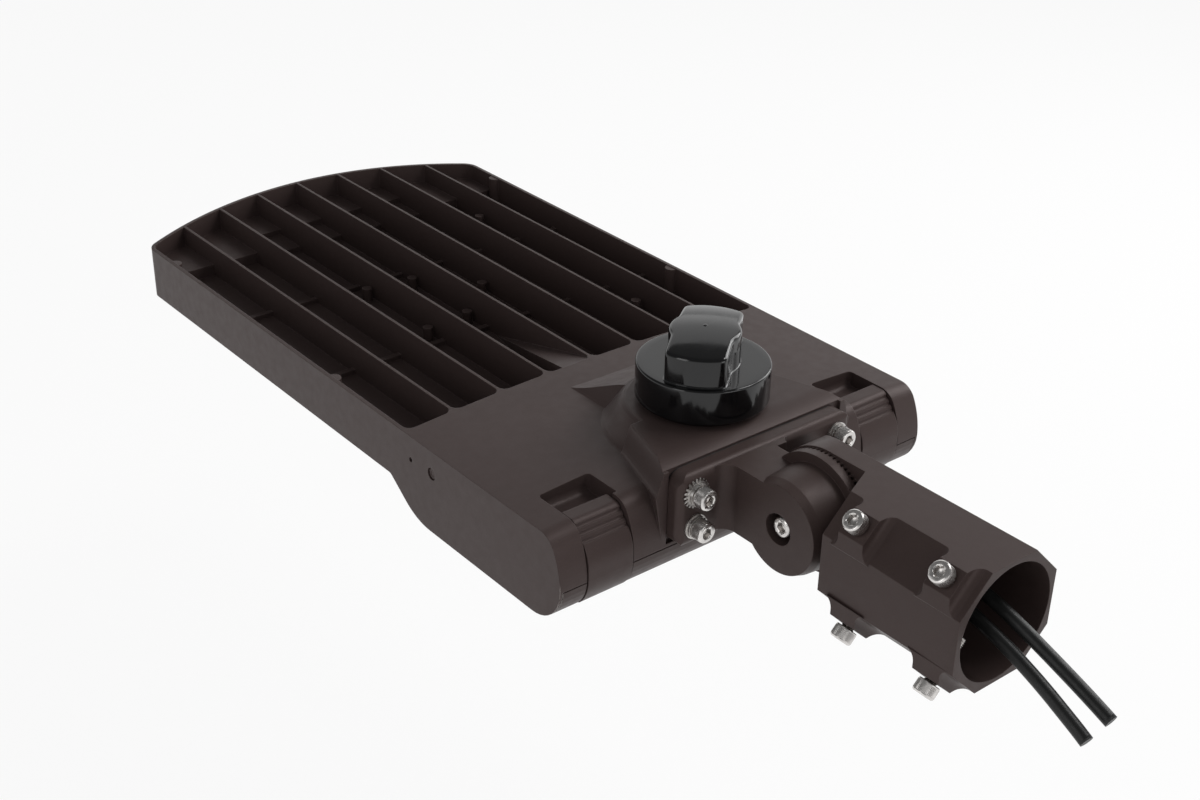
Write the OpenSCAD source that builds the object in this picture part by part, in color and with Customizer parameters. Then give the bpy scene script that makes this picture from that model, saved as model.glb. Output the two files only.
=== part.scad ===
// Shoebox area light: finned head, knuckle bracket, pole slipfitter and shorting cap.
// Origin: centre of the socket's mouth. +Y runs from the socket towards the head, +Z is up.

/* [Head] */
// Width of the head over its side walls
head_w = 299.6; // [296:0.2:304]
// Distance from the socket's mouth to the head's rear face
head_rear = 193.5; // [192:0.5:196]
// Length of the head along its middle
head_l = 550.5; // [545:0.5:560]
// Height of the top's side edges above the socket's axis
side_top = 7; // [6:0.5:8]
// Rise of the domed top from its side edges to its middle
crown_h = 5.8; // [5:0.1:7]
// Depth of the front section below the side edges
thin_depth = 38.5; // [37:0.5:40]
// Depth of the driver compartment below the side edges
comp_depth = 59.7; // [59:0.1:61]
// Depth of the parting line between housing and door below the side edges
seam_depth = 33.6; // [33:0.1:34.5]
// Thickness of the head's walls
head_wall = 2.8; // [2.4:0.1:3.2]
// Radius of the curved front
front_r = 313; // [305:1:330]
// Radius of the two front corners
corner_r = 12; // [10:0.5:14]
// Small radius at the top of the rounded rear
rear_top_r = 14; // [13:0.5:15]
// Turn of the small radius before the long curve starts, in degrees
rear_turn = 62; // [58:1:66]
// Radius of the long curve down the rear
rear_back_r = 56; // [52:1:60]
// Radius at the bottom of the rear
rear_low_r = 27; // [26:0.5:27.5]
// Place where the compartment's bottom starts to rise
slope_y = 326.8; // [326:0.2:328]
// Radius at the start of the rise
slope_r = 46; // [44:1:48]
// Steepness of the rise in degrees
slope_turn = 36; // [34:1:38]
// Radius at the end of the rise
slope_end_r = 6; // [4:0.5:8]

/* [Fins] */
// Spacing of the fins
fin_pitch = 37.4; // [36.6:0.2:38]
// Thickness of a fin
fin_t = 2; // [1.6:0.1:2.6]
// Number of fins
fin_count = 7; // [5:2:7]
// Where the channels start behind the deck
channel_y = 352.7; // [352:0.1:354]
// Corner radius at the rear of a channel
channel_r = 6; // [4:0.5:8]
// Height of the channel floor
floor_z = -14; // [-15:0.5:-13]
// Thickness of the channel floor
floor_t = 4.5; // [4:0.5:5]
// Height of the cross ribs on the floor
rib_h = 3.4; // [2:0.2:5]
// Length of a cross rib along the channel
rib_l = 4; // [3:0.5:6]
// Places of the cross ribs
rib_places = [376.7, 472.6, 585.6];
// Height of the raised pads at the channel fronts
pad_h = 8.5; // [6:0.5:10]
// Distance from the front to the pads of the outer two channels on each side
pad_outer_l = 71; // [64:1:79]
// Distance from the front to the pads of the middle four channels
pad_inner_l = 41; // [32:1:46]
// Radius of the ejector posts
post_r = 3.6; // [2.5:0.1:4]
// Height of the ejector posts
post_h = 10; // [6:0.5:12]
// Width of the wire duct at the deck
duct_w = 24; // [20:1:28]
// Length of the wire duct
duct_l = 108; // [90:2:116]
// Radius of the casting bosses on the side walls
wall_boss_r = 5; // [4:0.5:6]
// Distances of the casting bosses on the side walls from the front
wall_boss_places = [303, 76];

/* [Photocell boss] */
// Distance of the receptacle's axis from the head's rear face
cell_rear = 51; // [50:0.5:52]
// Height of the boss top
boss_z = 29.3; // [28.5:0.1:30]
// Radius of the boss at its top
boss_top_r = 47; // [46:0.5:49]
// Radius of the boss at its foot
boss_foot_r = 64; // [60:0.5:66]
// Half width of the boss top at the rear
boss_rear_half = 72; // [71.5:0.5:74]
// Width of the boss's flank at the rear
boss_flank = 8; // [6:0.5:9]
// Angle of the boss's flanks to the middle line, in degrees
boss_taper = 17; // [14:1:19]
// Fall of the boss top towards the bracket
boss_fall = 3.6; // [3:0.1:4]
// Length over which the boss top falls
boss_fall_l = 16; // [14:0.5:18]
// Where the ramp in front of the boss ends
ramp_end = 336; // [330:1:342]
// Length of the ramp in front of the boss
ramp_l = 60; // [50:1:70]
// Half width of the ramp at its foot
ramp_half = 40; // [34:1:44]

/* [Door and latches] */
// Gap between the door and the housing at the parting line
seam_gap = 0.7; // [0.4:0.1:0.8]
// Thickness of the side walls beside the door
skirt_t = 1.9; // [1.6:0.1:2.3]
// Thickness of the door
door_t = 3; // [2.6:0.1:3.4]
// Radius of the door's hinge barrel
hinge_r = 5.7; // [5.4:0.1:6]
// Radius of the hinge pins
hinge_pin_r = 2; // [1.6:0.1:2.2]
// Distance of a hinge's middle from the head's side
hinge_in = 49.8; // [40:0.2:70]
// Distance between the two lugs of a hinge
hinge_span = 20; // [16:1:24]
// Thickness of a hinge lug
lug_t = 6; // [5:0.5:7]
// Distance of a latch's middle from the head's side
latch_in = 37; // [36:0.5:38]
// Width of a latch
latch_w = 33.2; // [32:0.2:34]
// Gap at each side of a latch
latch_side_gap = 0.8; // [0.5:0.1:1]
// Thickness of a latch
latch_t = 4.5; // [4:0.1:5]
// How far a latch stands out of the head's rear
latch_proud = 0.4; // [0.2:0.1:0.8]
// Distance of a latch's front edge from the head's rear face
latch_front = 25.4; // [25:0.1:26]
// Height of a latch's top above the side edges
latch_top = 0.8; // [0.4:0.1:1]
// Distance from the head's rear face to where a latch's top ends
latch_flat_end = 17.5; // [17:0.1:18]
// Radius between a latch's top and its slanted grip
latch_top_r = 6; // [5.8:0.1:6.5]
// Radius between a latch's slanted grip and its rear
latch_low_r = 24; // [20:1:26]
// Steepness of a latch's grip in degrees
latch_turn = 51; // [48:1:54]
// Distance of a latch's pivot from the head's rear face
latch_pivot_in = 9.1; // [8.8:0.1:9.4]
// Depth of a latch's pivot below the parting line
latch_pivot_low = 12.6; // [12.2:0.1:13]
// Radius of a latch's barrel
latch_barrel_r = 6.6; // [6.2:0.1:6.8]
// Radius of the latch pins
latch_pin_r = 1.5; // [1.2:0.1:1.8]
// Radius of the grip grooves
grip_r = 1.6; // [1.2:0.1:2]
// Spacing of the grip grooves
grip_pitch = 4.7; // [4.2:0.1:5]
// Length of a finger pocket in front of a latch
pocket_l = 21.8; // [18:0.2:23]
// Width of a finger pocket
pocket_w = 37.7; // [35:0.1:38]
// Depth of a finger pocket below the side edges
pocket_depth = 8.5; // [7:0.5:9]
// Corner radius of a finger pocket
pocket_r = 3; // [2:0.5:4]
// Fillet between a finger pocket's floor and its front wall
pocket_fillet = 5; // [4:0.5:6]
// Height of the gasket between door and housing
gasket_h = 2; // [1.6:0.1:2.4]
// Width of the gasket between door and housing
gasket_w = 2.4; // [2:0.1:2.8]

/* [Bracket] */
// Half width of the bracket's flange
flange_half = 70.5; // [69.5:0.5:71]
// Height of the flange's top edge
flange_top = 24.6; // [24:0.1:25]
// Height of the flange's bottom edge
flange_low = -24; // [-25:0.5:-23]
// Thickness of the flange
flange_t = 11.5; // [11:0.1:12]
// Depth of the flange's seat in the head
seat_depth = 2.5; // [2:0.1:3]
// Thickness of the gaskets behind the flange and under the receptacle
flat_gasket_t = 1; // [0.8:0.1:1.2]
// Corner radius of the flange
flange_r = 9.5; // [8:0.5:10]
// Rounding of the flange's outer edges
flange_edge_r = 5; // [4:0.5:6]
// Left side of the arm, from the middle
arm_left = -33.6; // [-34:0.1:-33]
// Right side of the arm, from the middle
arm_right = 10; // [9:0.5:12]
// Height of the arm's underside
arm_low = -20.4; // [-21:0.1:-20]
// Fillet between arm and flange
arm_fillet = 9; // [7:0.5:10]
// Distance of the flange bolts from the middle
bolt_x = 57.8; // [57:0.1:58.5]
// Height of the upper flange bolts
bolt_z_up = 11.8; // [11:0.1:12.5]
// Height of the lower flange bolts
bolt_z_low = -10.8; // [-11.5:0.1:-10]
// Radius of the wire passage through arm and flange
wire_way_r = 8; // [6:0.5:9]
// Distance of the wire passage from the middle
wire_way_x = -12; // [-14:1:-10]

/* [Knuckle] */
// Distance from the socket's mouth to the knuckle's axis
knuckle_y = 139; // [138.5:0.1:139.5]
// Radius of the knuckle's outer face
disc_face_r = 28.6; // [28:0.1:29]
// Radius of the knuckle's barrel beside its outer face
disc_edge_r = 30.3; // [30:0.1:30.6]
// Radius of the knuckle's barrel beside the teeth
disc_r = 32; // [31.5:0.1:32.5]
// Radius of the toothed ring
tooth_r = 38; // [37:0.1:38.2]
// Inner radius of the teeth
tooth_in_r = 29; // [27:0.5:31]
// Height of the teeth
tooth_h = 1.2; // [1:0.1:1.5]
// Number of teeth
tooth_count = 72; // [48:4:80]
// Left end of the toothed ring
ring_left = -4.9; // [-5.5:0.1:-4.5]
// Right end of the bracket's teeth
ring_right = 2.1; // [1.8:0.1:2.4]
// Length of the bevel at the knuckle's outer face
disc_bevel = 5.8; // [5:0.1:6.5]
// Radius of the recess round the knuckle bolt
bolt_recess_r = 10; // [9.5:0.1:11]
// Depth of the recess round the knuckle bolt
bolt_recess = 12; // [11:0.5:13]

/* [Slipfitter] */
// Width of the octagonal socket across its flats
socket_af = 78; // [77:0.2:79]
// Half length of the socket's flats
flat_half = 18; // [17:0.5:19]
// Radius of the socket's bore
bore_r = 36.25; // [35.75:0.25:36.5]
// Depth of the socket's bore
bore_l = 92; // [90:0.5:93]
// Length of the socket on the screw side
socket_l = 100.5; // [100.2:0.1:101]
// Draft of the screw side: extra width at the mouth and narrowing at the other end
draft = 0.8; // [0.6:0.1:1]
// Distance from the middle where the slanted end begins
slant_x = -18.6; // [-20:0.1:-17]
// Length of the socket where the slanted end meets the ear
slant_l = 110.4; // [109:0.1:112]
// Distances of the screw bosses from the mouth
screw_places = [17.4, 78.8];
// Distance of the screw bosses' seats from the socket's axis
screw_seat_r = 47.7; // [47:0.1:48.5]
// Length of a screw boss at its seat
screw_boss_l = 18.3; // [17:0.1:20]
// Fillet at the foot of a screw boss
screw_boss_fillet = 5; // [4:0.5:6]
// Length of the clamp screws under their heads
clamp_l = 30; // [28:0.2:31]
// Gap between a clamp screw's head and its seat
clamp_gap = 1.2; // [0.8:0.1:2]

/* [Fasteners] */
// Radius of the M8 threads
m8_r = 4; // [3.9:0.05:4.1]
// Head radius of the M8 socket screws
m8_head_r = 6.6; // [6.4:0.1:6.8]
// Head height of the M8 socket screws
m8_head_h = 8; // [7.6:0.1:8.2]
// Width across flats of the M8 socket
m8_socket_af = 6; // [5.8:0.1:6.2]
// Depth of the M8 socket
m8_socket_d = 4; // [3:0.5:5]
// Radius of the flat washers
washer_r = 8; // [7.5:0.1:8.5]
// Thickness of the flat washers
washer_t = 1.5; // [1.2:0.1:1.6]
// Radius of the split spring washers
spring_r = 7.3; // [7:0.1:7.5]
// Thickness of the split spring washers
spring_t = 2.1; // [1.8:0.1:2.2]
// Radius of the toothed lock washer
lock_r = 9.7; // [9.2:0.1:10]
// Thickness of the toothed lock washer
lock_t = 0.7; // [0.5:0.1:1]
// Length of the flange bolts under their heads
flange_bolt_l = 30; // [28:1:32]
// Width across flats of the M8 nut
nut_af = 13; // [12.8:0.1:13]
// Height of the M8 nut
nut_h = 6.8; // [6.4:0.1:7]
// Radius of the M4 screws
m4_r = 2; // [1.9:0.05:2.1]
// Head radius of the M4 screws
m4_head_r = 3.8; // [3.5:0.1:4]
// Head height of the M4 screws
m4_head_h = 2.4; // [2.2:0.1:2.8]

/* [Shorting cap] */
// Radius of the cap's ring
cap_r = 42; // [41.5:0.1:42.5]
// Height of the taper under the ring
cap_taper_h = 3.7; // [3:0.1:4.5]
// Width of the taper under the ring
cap_taper_w = 4.5; // [3.5:0.1:5]
// Height of the ring's top above the boss
cap_ring_h = 26.6; // [26:0.1:27.2]
// Rounding of the ring's top edge
cap_edge_r = 1.5; // [1:0.1:2]
// Inner radius of the cap
cap_in_r = 35; // [34.6:0.1:35.4]
// Thickness of the cap's top
cap_top_t = 5.9; // [5:0.1:6.5]
// Half width of the grip bar
grip_half = 19; // [18:0.1:20]
// Radius of the grip bar's ends
grip_end_r = 38.5; // [38:0.1:39]
// Radius of the round middle of the grip
grip_mid_r = 22.5; // [21:0.5:24]
// Turn of the grip bar from the middle line of the head, in degrees
grip_turn = 38.5; // [36:0.5:41]
// Height of the grip's middle above the ring
grip_h = 23.5; // [23:0.1:24]
// Fall of the grip's top towards its ends
grip_fall = 4.5; // [4:0.1:5]
// Radius of the pip on the grip
pip_r = 1.3; // [1:0.1:1.6]

/* [Receptacle] */
// Radius of the receptacle's foot
cell_foot_r = 33; // [32.5:0.1:33.5]
// Thickness of the receptacle's foot
cell_foot_t = 3; // [2.5:0.1:3.5]
// Radius of the receptacle's body
cell_body_r = 29.5; // [29:0.1:30]
// Height of the receptacle above the boss
cell_h = 16.7; // [16:0.1:17.2]
// Radius of the receptacle's stem in the boss
cell_stem_r = 23; // [22:0.5:24]
// Mean radius of the twist-lock blades
blade_mid_r = 11; // [10.6:0.1:11.6]
// Thickness of a twist-lock blade
blade_t = 1.6; // [1.4:0.1:1.8]
// Angle that a blade spans, in degrees
blade_span = 30; // [26:1:32]
// Turn of the cap to its release position, in degrees
cap_travel = 25; // [20:1:25]

/* [Underside] */
// Width of the rim round the light opening
rim_w = 8; // [7:0.5:9]
// Where the light opening starts
light_y = 386; // [385:0.5:390]
// Gap of the lens panels to the middle and to the rim
lens_gap = 3.8; // [3:0.2:5]
// Thickness of a lens panel
lens_t = 3; // [2.5:0.1:3.5]
// Radius of a lens dome
dome_r = 9; // [8:0.5:10]
// Height of a lens dome
dome_h = 3.4; // [2.5:0.1:3.6]
// Thickness of a light board
board_t = 1.6; // [1.2:0.1:2]
// Thickness of the lens gaskets
lens_gasket_t = 3.5; // [3:0.1:3.8]
// Width of the lens gaskets
lens_gasket_w = 4; // [3:0.5:5]
// Number of light chips across a board
chips_x = 4; // [3:1:4]
// Number of light chips along a board
chips_y = 6; // [4:1:6]
// Side of a light chip
chip_w = 5; // [4:0.5:6]
// Thickness of a light chip
chip_t = 0.8; // [0.6:0.1:1]

/* [Driver compartment] */
// Thickness of the deck over the compartment at its sides
deck_t = 3.5; // [3:0.1:4]
// Thickness of the blocks at the compartment's sides
comp_side = 8.8; // [8.3:0.1:10.8]
// Thickness of the rear block between the latches
rear_block = 20.5; // [19.5:0.5:21]
// Thickness of the rear block behind the latches
rear_block_side = 51; // [50:0.5:52]
// Where the cross wall of the compartment starts
cross_wall_y = 311; // [310:0.5:312]
// Thickness of the cross wall
cross_wall_t = 7; // [6:0.5:8]
// Room for wires at each end of the driver
wire_room = 22; // [20:1:26]
// Width of the driver along the head
driver_l = 58; // [50:1:64]
// Height of the driver
driver_h = 30; // [26:0.5:32]
// Gap over the driver, taken by its two feet
driver_foot = 4; // [3:0.5:5]
// Side of the surge protector
surge_w = 40; // [34:1:44]
// Height of the surge protector
surge_h = 26; // [20:1:28]
// Length of the terminal block
block_l = 42; // [36:1:46]
// Width of the terminal block
block_w = 17; // [14:1:20]
// Height of the terminal block
block_h = 15; // [12:1:18]
// Radius of an internal wire
wire_r = 1.4; // [1.2:0.1:1.8]

/* [Accessory holes] */
// Radius of the small threaded hole in the side wall
side_hole_r = 1.65; // [1.6:0.05:2.1]
// Distance of the small hole from the head's rear face
side_hole_y = 152.6; // [151:0.2:154]
// Depth of the small hole below the side edge
side_hole_low = 17.1; // [16:0.1:18]
// Radius of the recess with the plug screw in the side wall
plug_r = 4.2; // [3.8:0.1:4.6]
// Distance of the plug screw from the head's rear face
plug_y = 129.3; // [128:0.2:131]
// Depth of the plug screw below the side edge
plug_low = 16.3; // [16:0.1:17]

/* [Supply cables] */
// Diameter of a supply cable
cable_d = 8; // [7:0.5:8.5]
// Radius of the grommet's body
grommet_r = 14; // [13:0.5:15]
// Thickness of the grommet's collar
grommet_collar = 2.2; // [1.5:0.1:3]

/* [Fits] */
// Radial clearance of pins and screws in their holes
fit = 0.05; // [0.03:0.01:0.08]
// Gap between faces that move past each other
rub_gap = 0.3; // [0.25:0.05:0.4]
// Gap round pieces that are set into a recess
seat_gap = 0.5; // [0.4:0.05:0.6]

/* [Hidden] */
// Overrun of cuts and small overlap of joined shapes
over = 10;
sink = 0.4;
steel = [0.78, 0.78, 0.78];
cast = [0.28, 0.245, 0.24];
rubber = [0.06, 0.06, 0.06];
brass = [0.8, 0.65, 0.33];
$fn = 180;
half = head_w / 2;
crown_z = side_top + crown_h;
crown_r = (half * half + crown_h * crown_h) / (2 * crown_h);
head_front = head_rear + head_l;
front_cy = head_front - front_r;
seam_z = side_top - seam_depth;
comp_z = side_top - comp_depth;
thin_z = side_top - thin_depth;
light_z = floor_z - floor_t;
form_depth = comp_depth + 2 * crown_h + over;
form_angle = asin((half + over) / (crown_r - form_depth));
arc_steps = 10;
flat_r = socket_af / 2;
chamfer_sum = flat_r + flat_half;
chamfer_r = chamfer_sum / sqrt(2);
cell_y = head_rear + cell_rear;
cap_low = boss_z + seat_gap;
ring_top = boss_z + cap_ring_h;
flange_front = head_rear + seat_depth - flat_gasket_t;
flange_back = flange_front - flange_t;
bolt_places = [[-bolt_x, bolt_z_up], [bolt_x, bolt_z_up], [-bolt_x, bolt_z_low], [bolt_x, bolt_z_low]];
door_half = half - skirt_t - seat_gap;
door_top = seam_z - seam_gap;
hinge_y = slope_y - hinge_r / 2;
hinge_z = comp_z + hinge_r;
hinge_c = [hinge_y, hinge_z];
low_c = [head_rear + rear_low_r, comp_z + rear_low_r];
door_front = hinge_y - hinge_r;
latch_py = head_rear + latch_pivot_in;
latch_pz = seam_z - latch_pivot_low;
latch_edge = head_rear + latch_front;
latch_x = half - latch_in;
latch_wall = 3;
hinge_x = half - hinge_in;
comp_half = half - comp_side;
rear_rib_in = 14;
rib_y = head_rear + rear_rib_in;
rib_t = 5;
door_rib_front = door_front - 2 * seat_gap;
stem_gap = 1;
cell_top = boss_z + cell_h;
clamp_head_r = screw_seat_r + clamp_gap;
lens_y = light_y + lens_gap;
lens_w = half - rim_w - lens_gap - lens_gap;
lens_l = front_cy + sqrt(pow(front_r - rim_w, 2) - pow(half - rim_w, 2)) - 3/2 * lens_gap - lens_y;
lens_z = light_z - lens_gasket_t;
chip_pitch_x = lens_w / chips_x;
chip_pitch_y = lens_l / chips_y;
driver_gap = 6;
driver_y = cross_wall_y - driver_l - driver_gap;
ceiling_z = side_top - deck_t;
bolt_seat = flange_back - washer_t - spring_t;
bolt_tip = bolt_seat + flange_bolt_l;
lens_screw_shares = [[1/4, 1/6], [3/4, 1/6], [1/4, 1/2], [3/4, 1/2], [1/4, 5/6], [3/4, 5/6]];
driver_top = ceiling_z - driver_foot;
foot_w = 12;
side_in = 29.8;
side_x = half - side_in;
driver_w = 2 * (side_x - wire_room) - surge_w;
surge_y = driver_y + (driver_l - surge_w) / 2;
block_y = driver_y + (driver_l - block_l) / 2;
ceiling_screws = [
    [-(driver_w + foot_w) / 2, driver_y + driver_l / 2], [(driver_w + foot_w) / 2, driver_y + driver_l / 2],
    [side_x, surge_y - foot_w / 3], [side_x, surge_y + surge_w + foot_w / 3],
    [-side_x, block_y + foot_w / 2], [-side_x, block_y + block_l - foot_w / 2]
];
ear_x = ring_right + rub_gap + tooth_h;
bolt_floor = arm_left + bolt_recess;
web_y = knuckle_y + flat_r + 2 * seat_gap;
nut_floor = flat_r - nut_h - 2 * seat_gap;
nut_pocket_r = 9.5;
grommet_x = -1;
grommet_z = 9;
grommet_lip = 3;
wire_pass = 3;
plug_sink = 0.8;
spring_split = 1.4;
contact_r = 20;
contact_w = 6;
wire_gap = 1.6;
cell_low = ceiling_z + stem_gap + seat_gap;
post_in = 2;
post_steps = [-20, 12, -24, 17, -62, 44, -42];

// Points of an arc from angle a0 to angle a1
function arc(c, r, a0, a1, n = arc_steps) =
    [for (i = [0 : n]) [c[0] + r * cos(a0 + (a1 - a0) * i / n), c[1] + r * sin(a0 + (a1 - a0) * i / n)]];

// Points of a smooth step from p0 to p1, level at both ends
function s_step(p0, p1, n = arc_steps) =
    [for (i = [0 : n]) let (t = i / n)
        [p0[0] + (p1[0] - p0[0]) * t, p0[1] + (p1[1] - p0[1]) * t * t * (3 - 2 * t)]];

// Extrudes an outline of (y, z) points along X, over width w about x = 0
module along_x(w) {
    rotate([90, 0, 90]) linear_extrude(w, center = true) children();
}

// Extrudes an outline of (x, z) points along Y, from y0 to y1
module along_y(y0, y1) {
    translate([0, y1, 0]) rotate([90, 0, 0]) linear_extrude(y1 - y0) children();
}

// Cylinder along X from x0 to x1, about the point (y, z)
module rod_x(x0, x1, r, y, z) {
    translate([x0, y, z]) rotate([0, 90, 0]) cylinder(h = x1 - x0, r = r);
}

// Cylinder along Y from y0 to y1, about the point (x, z)
module rod_y(y0, y1, r, x, z) {
    translate([x, y1, z]) rotate([90, 0, 0]) cylinder(h = y1 - y0, r = r);
}

// Cut for a hole along Z
module bore(r) {
    translate([0, 0, -over]) cylinder(h = 2 * over, r = r);
}

// Outline of a rectangle with round corners
module round_rect(x0, x1, y0, y1, r) {
    translate([x0 + r, y0]) square([x1 - x0 - 2 * r, y1 - y0]);
    translate([x0, y0 + r]) square([x1 - x0, y1 - y0 - 2 * r]);
    for (x = [x0 + r, x1 - r], y = [y0 + r, y1 - r]) translate([x, y]) circle(r = r);
}

// Socket head screw along -Z: the head stands on z = 0 and the thread hangs below
module socket_screw(length) {
    difference() {
        cylinder(h = m8_head_h, r = m8_head_r);
        translate([0, 0, m8_head_h - m8_socket_d])
            cylinder(h = m8_socket_d + over, r = m8_socket_af / sqrt(3), $fn = 6);
    }
    translate([0, 0, -length]) cylinder(h = length + sink, r = m8_r);
}

// Pan head screw along -Z: the head stands on z = 0 and the thread hangs below
module pan_screw(length) {
    difference() {
        cylinder(h = m4_head_h, r = m4_head_r);
        translate([0, 0, m4_head_h / 2]) cylinder(h = m4_head_h, r = m4_r / 2, $fn = 6);
    }
    translate([0, 0, -length]) cylinder(h = length + sink, r = m4_r);
}

// Round wire swept along points, with rings square to the path
function unit(v) = v / norm(v);
function wire_dir(p, i) = unit(p[min(i + 1, len(p) - 1)] - p[max(i - 1, 0)]);
module wire(points, r, side, sides) {
    n = len(points);
    rings = [
        for (i = [0 : n - 1])
            let (d = wire_dir(points, i), u = unit(cross(d, side)), v = cross(d, u))
            for (k = [0 : sides - 1]) points[i] + r * (cos(360 * k / sides) * u + sin(360 * k / sides) * v)
    ];
    walls = [
        for (i = [0 : n - 2], k = [0 : sides - 1])
            let (a = i * sides + k, b = i * sides + (k + 1) % sides)
            each [[a, b, a + sides], [b, b + sides, a + sides]]
    ];
    start = [[for (k = [sides - 1 : -1 : 0]) k]];
    finish = [[for (k = [0 : sides - 1]) (n - 1) * sides + k]];
    polyhedron(points = rings, faces = concat(walls, start, finish), convexity = 6);
}

// Half outline of the head's rear in (radius, y), moved outwards by off
back_y = head_rear + rear_back_r * (1 - sin(rear_turn)) + rear_top_r * sin(rear_turn);
back_cy = back_y + (rear_back_r - rear_top_r) * sin(rear_turn);
back_d = rear_top_r + (rear_back_r - rear_top_r) * cos(rear_turn);
function rear_points(off) = concat(
    [for (i = [0 : arc_steps]) let (t = rear_turn * i / arc_steps)
        [crown_r - rear_top_r + (rear_top_r + off) * cos(t), back_y - (rear_top_r + off) * sin(t)]],
    [for (i = [1 : arc_steps]) let (t = rear_turn + (90 - rear_turn) * i / arc_steps)
        [crown_r - back_d + (rear_back_r + off) * cos(t), back_cy - (rear_back_r + off) * sin(t)]]
);

// Turns an outline of (radius, y) points about the axis of the domed top
module crown_turn() {
    translate([0, 0, crown_z - crown_r]) mirror([0, 1, -1]) rotate([0, 0, 90 - form_angle])
        rotate_extrude(angle = 2 * form_angle, $fn = 720) children();
}

// Head under its domed top and behind its rounded rear
module crown_form() {
    crown_turn() polygon(concat(
        [[crown_r - form_depth, head_front + over], [crown_r, head_front + over]],
        rear_points(0),
        [[crown_r - form_depth, head_rear]]
    ));
}

// Outline of the head from above, moved inwards by inset
function plan_points(inset) =
    let (
        w = half - inset, r = corner_r - inset / 2, fr = front_r - inset,
        cy = front_cy + sqrt((fr - r) * (fr - r) - (w - r) * (w - r)),
        a = atan2(cy - front_cy, w - r)
    )
    concat(
        [[-w, head_rear - over], [w, head_rear - over]],
        arc([w - r, cy], r, 0, a),
        arc([0, front_cy], fr, a, 180 - a, 4 * arc_steps),
        arc([r - w, cy], r, 180 - a, 180)
    );

// Outline of the head from the side, below its top
slope_end_y = slope_y + slope_r * sin(slope_turn);
slope_end_z = comp_z + slope_r * (1 - cos(slope_turn));
thin_start = slope_end_y + slope_end_r * sin(slope_turn)
    + (thin_z - slope_end_r * (1 - cos(slope_turn)) - slope_end_z) / tan(slope_turn);
side_points = concat(
    [[head_front + over, crown_z + over], [head_rear, crown_z + over]],
    arc(low_c, rear_low_r, 180, 270),
    arc([slope_y, comp_z + slope_r], slope_r, 270, 270 + slope_turn),
    arc([thin_start, thin_z - slope_end_r], slope_end_r, 90 + slope_turn, 90),
    [[head_front + over, thin_z]]
);

module head_form() {
    intersection() {
        crown_form();
        translate([0, 0, comp_z - over]) linear_extrude(crown_z - comp_z + 2 * over) polygon(plan_points(0));
        along_x(head_w + over) polygon(side_points);
    }
}

// Swelling of the deck that carries the photocell receptacle
boss_foot_z = crown_z - crown_h / 5;
flank_points = concat(
    [[boss_rear_half, seam_z + sink], [-boss_flank / 6, seam_z + sink], [-boss_flank, boss_foot_z]],
    s_step([-boss_flank, boss_foot_z], [0, boss_z]),
    [[boss_rear_half, boss_z]]
);
module boss_flank_half() {
    intersection() {
        translate([-boss_rear_half, head_rear, 0]) rotate([0, 0, -boss_taper])
            along_y(-over, cell_rear + 2 * over) polygon(flank_points);
        translate([-2 * boss_rear_half, head_rear, seam_z])
            cube([2 * boss_rear_half + sink, cell_rear + sink, 2 * comp_depth]);
    }
}
module boss_form() {
    fall_r = (boss_fall_l * boss_fall_l + boss_fall * boss_fall) / (2 * boss_fall);
    fall_turn = asin(boss_fall_l / fall_r);
    level_y = head_rear + seat_depth + boss_fall_l;
    intersection() {
        union() {
            translate([0, cell_y, 0]) rotate_extrude() polygon(concat(
                [[0, side_top - deck_t], [boss_foot_r, side_top - deck_t]],
                s_step([boss_foot_r, boss_foot_z], [boss_top_r, boss_z]),
                [[0, boss_z]]
            ));
            boss_flank_half();
            mirror([1, 0, 0]) boss_flank_half();
        }
        along_x(2 * head_w) polygon(concat(
            [[head_front, seam_z], [head_rear, seam_z], [head_rear, boss_z - boss_fall]],
            arc([level_y, boss_z - fall_r], fall_r, 90 + fall_turn, 90),
            [[head_front, boss_z]]
        ));
    }
    intersection() {
        along_y(cell_y, ramp_end) polygon(concat(
            [[-ramp_half, side_top - deck_t]],
            s_step([-ramp_half, boss_foot_z], [-ramp_half / 2, boss_z]),
            s_step([ramp_half / 2, boss_z], [ramp_half, boss_foot_z]),
            [[ramp_half, side_top - deck_t]]
        ));
        along_x(head_w) polygon(concat(
            [[cell_y, side_top - deck_t], [cell_y, boss_z]],
            s_step([ramp_end - ramp_l, boss_z], [ramp_end, boss_foot_z]),
            [[ramp_end, side_top - deck_t]]
        ));
    }
}

// Open channels between the fins
fin_half = (fin_count - 1) / 2;
module channels() {
    translate([0, 0, floor_z]) linear_extrude(crown_z - floor_z + over) intersection() {
        polygon(plan_points(head_wall));
        for (i = [0 : fin_count]) {
            left = i == 0 ? -half : fin_pitch * (i - 1 - fin_half) + fin_t / 2;
            right = i == fin_count ? half : fin_pitch * (i - fin_half) - fin_t / 2;
            x0 = max(left, head_wall - half);
            x1 = min(right, half - head_wall);
            round_rect(x0, x1, channel_y, head_front + over, channel_r);
        }
    }
}

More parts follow.
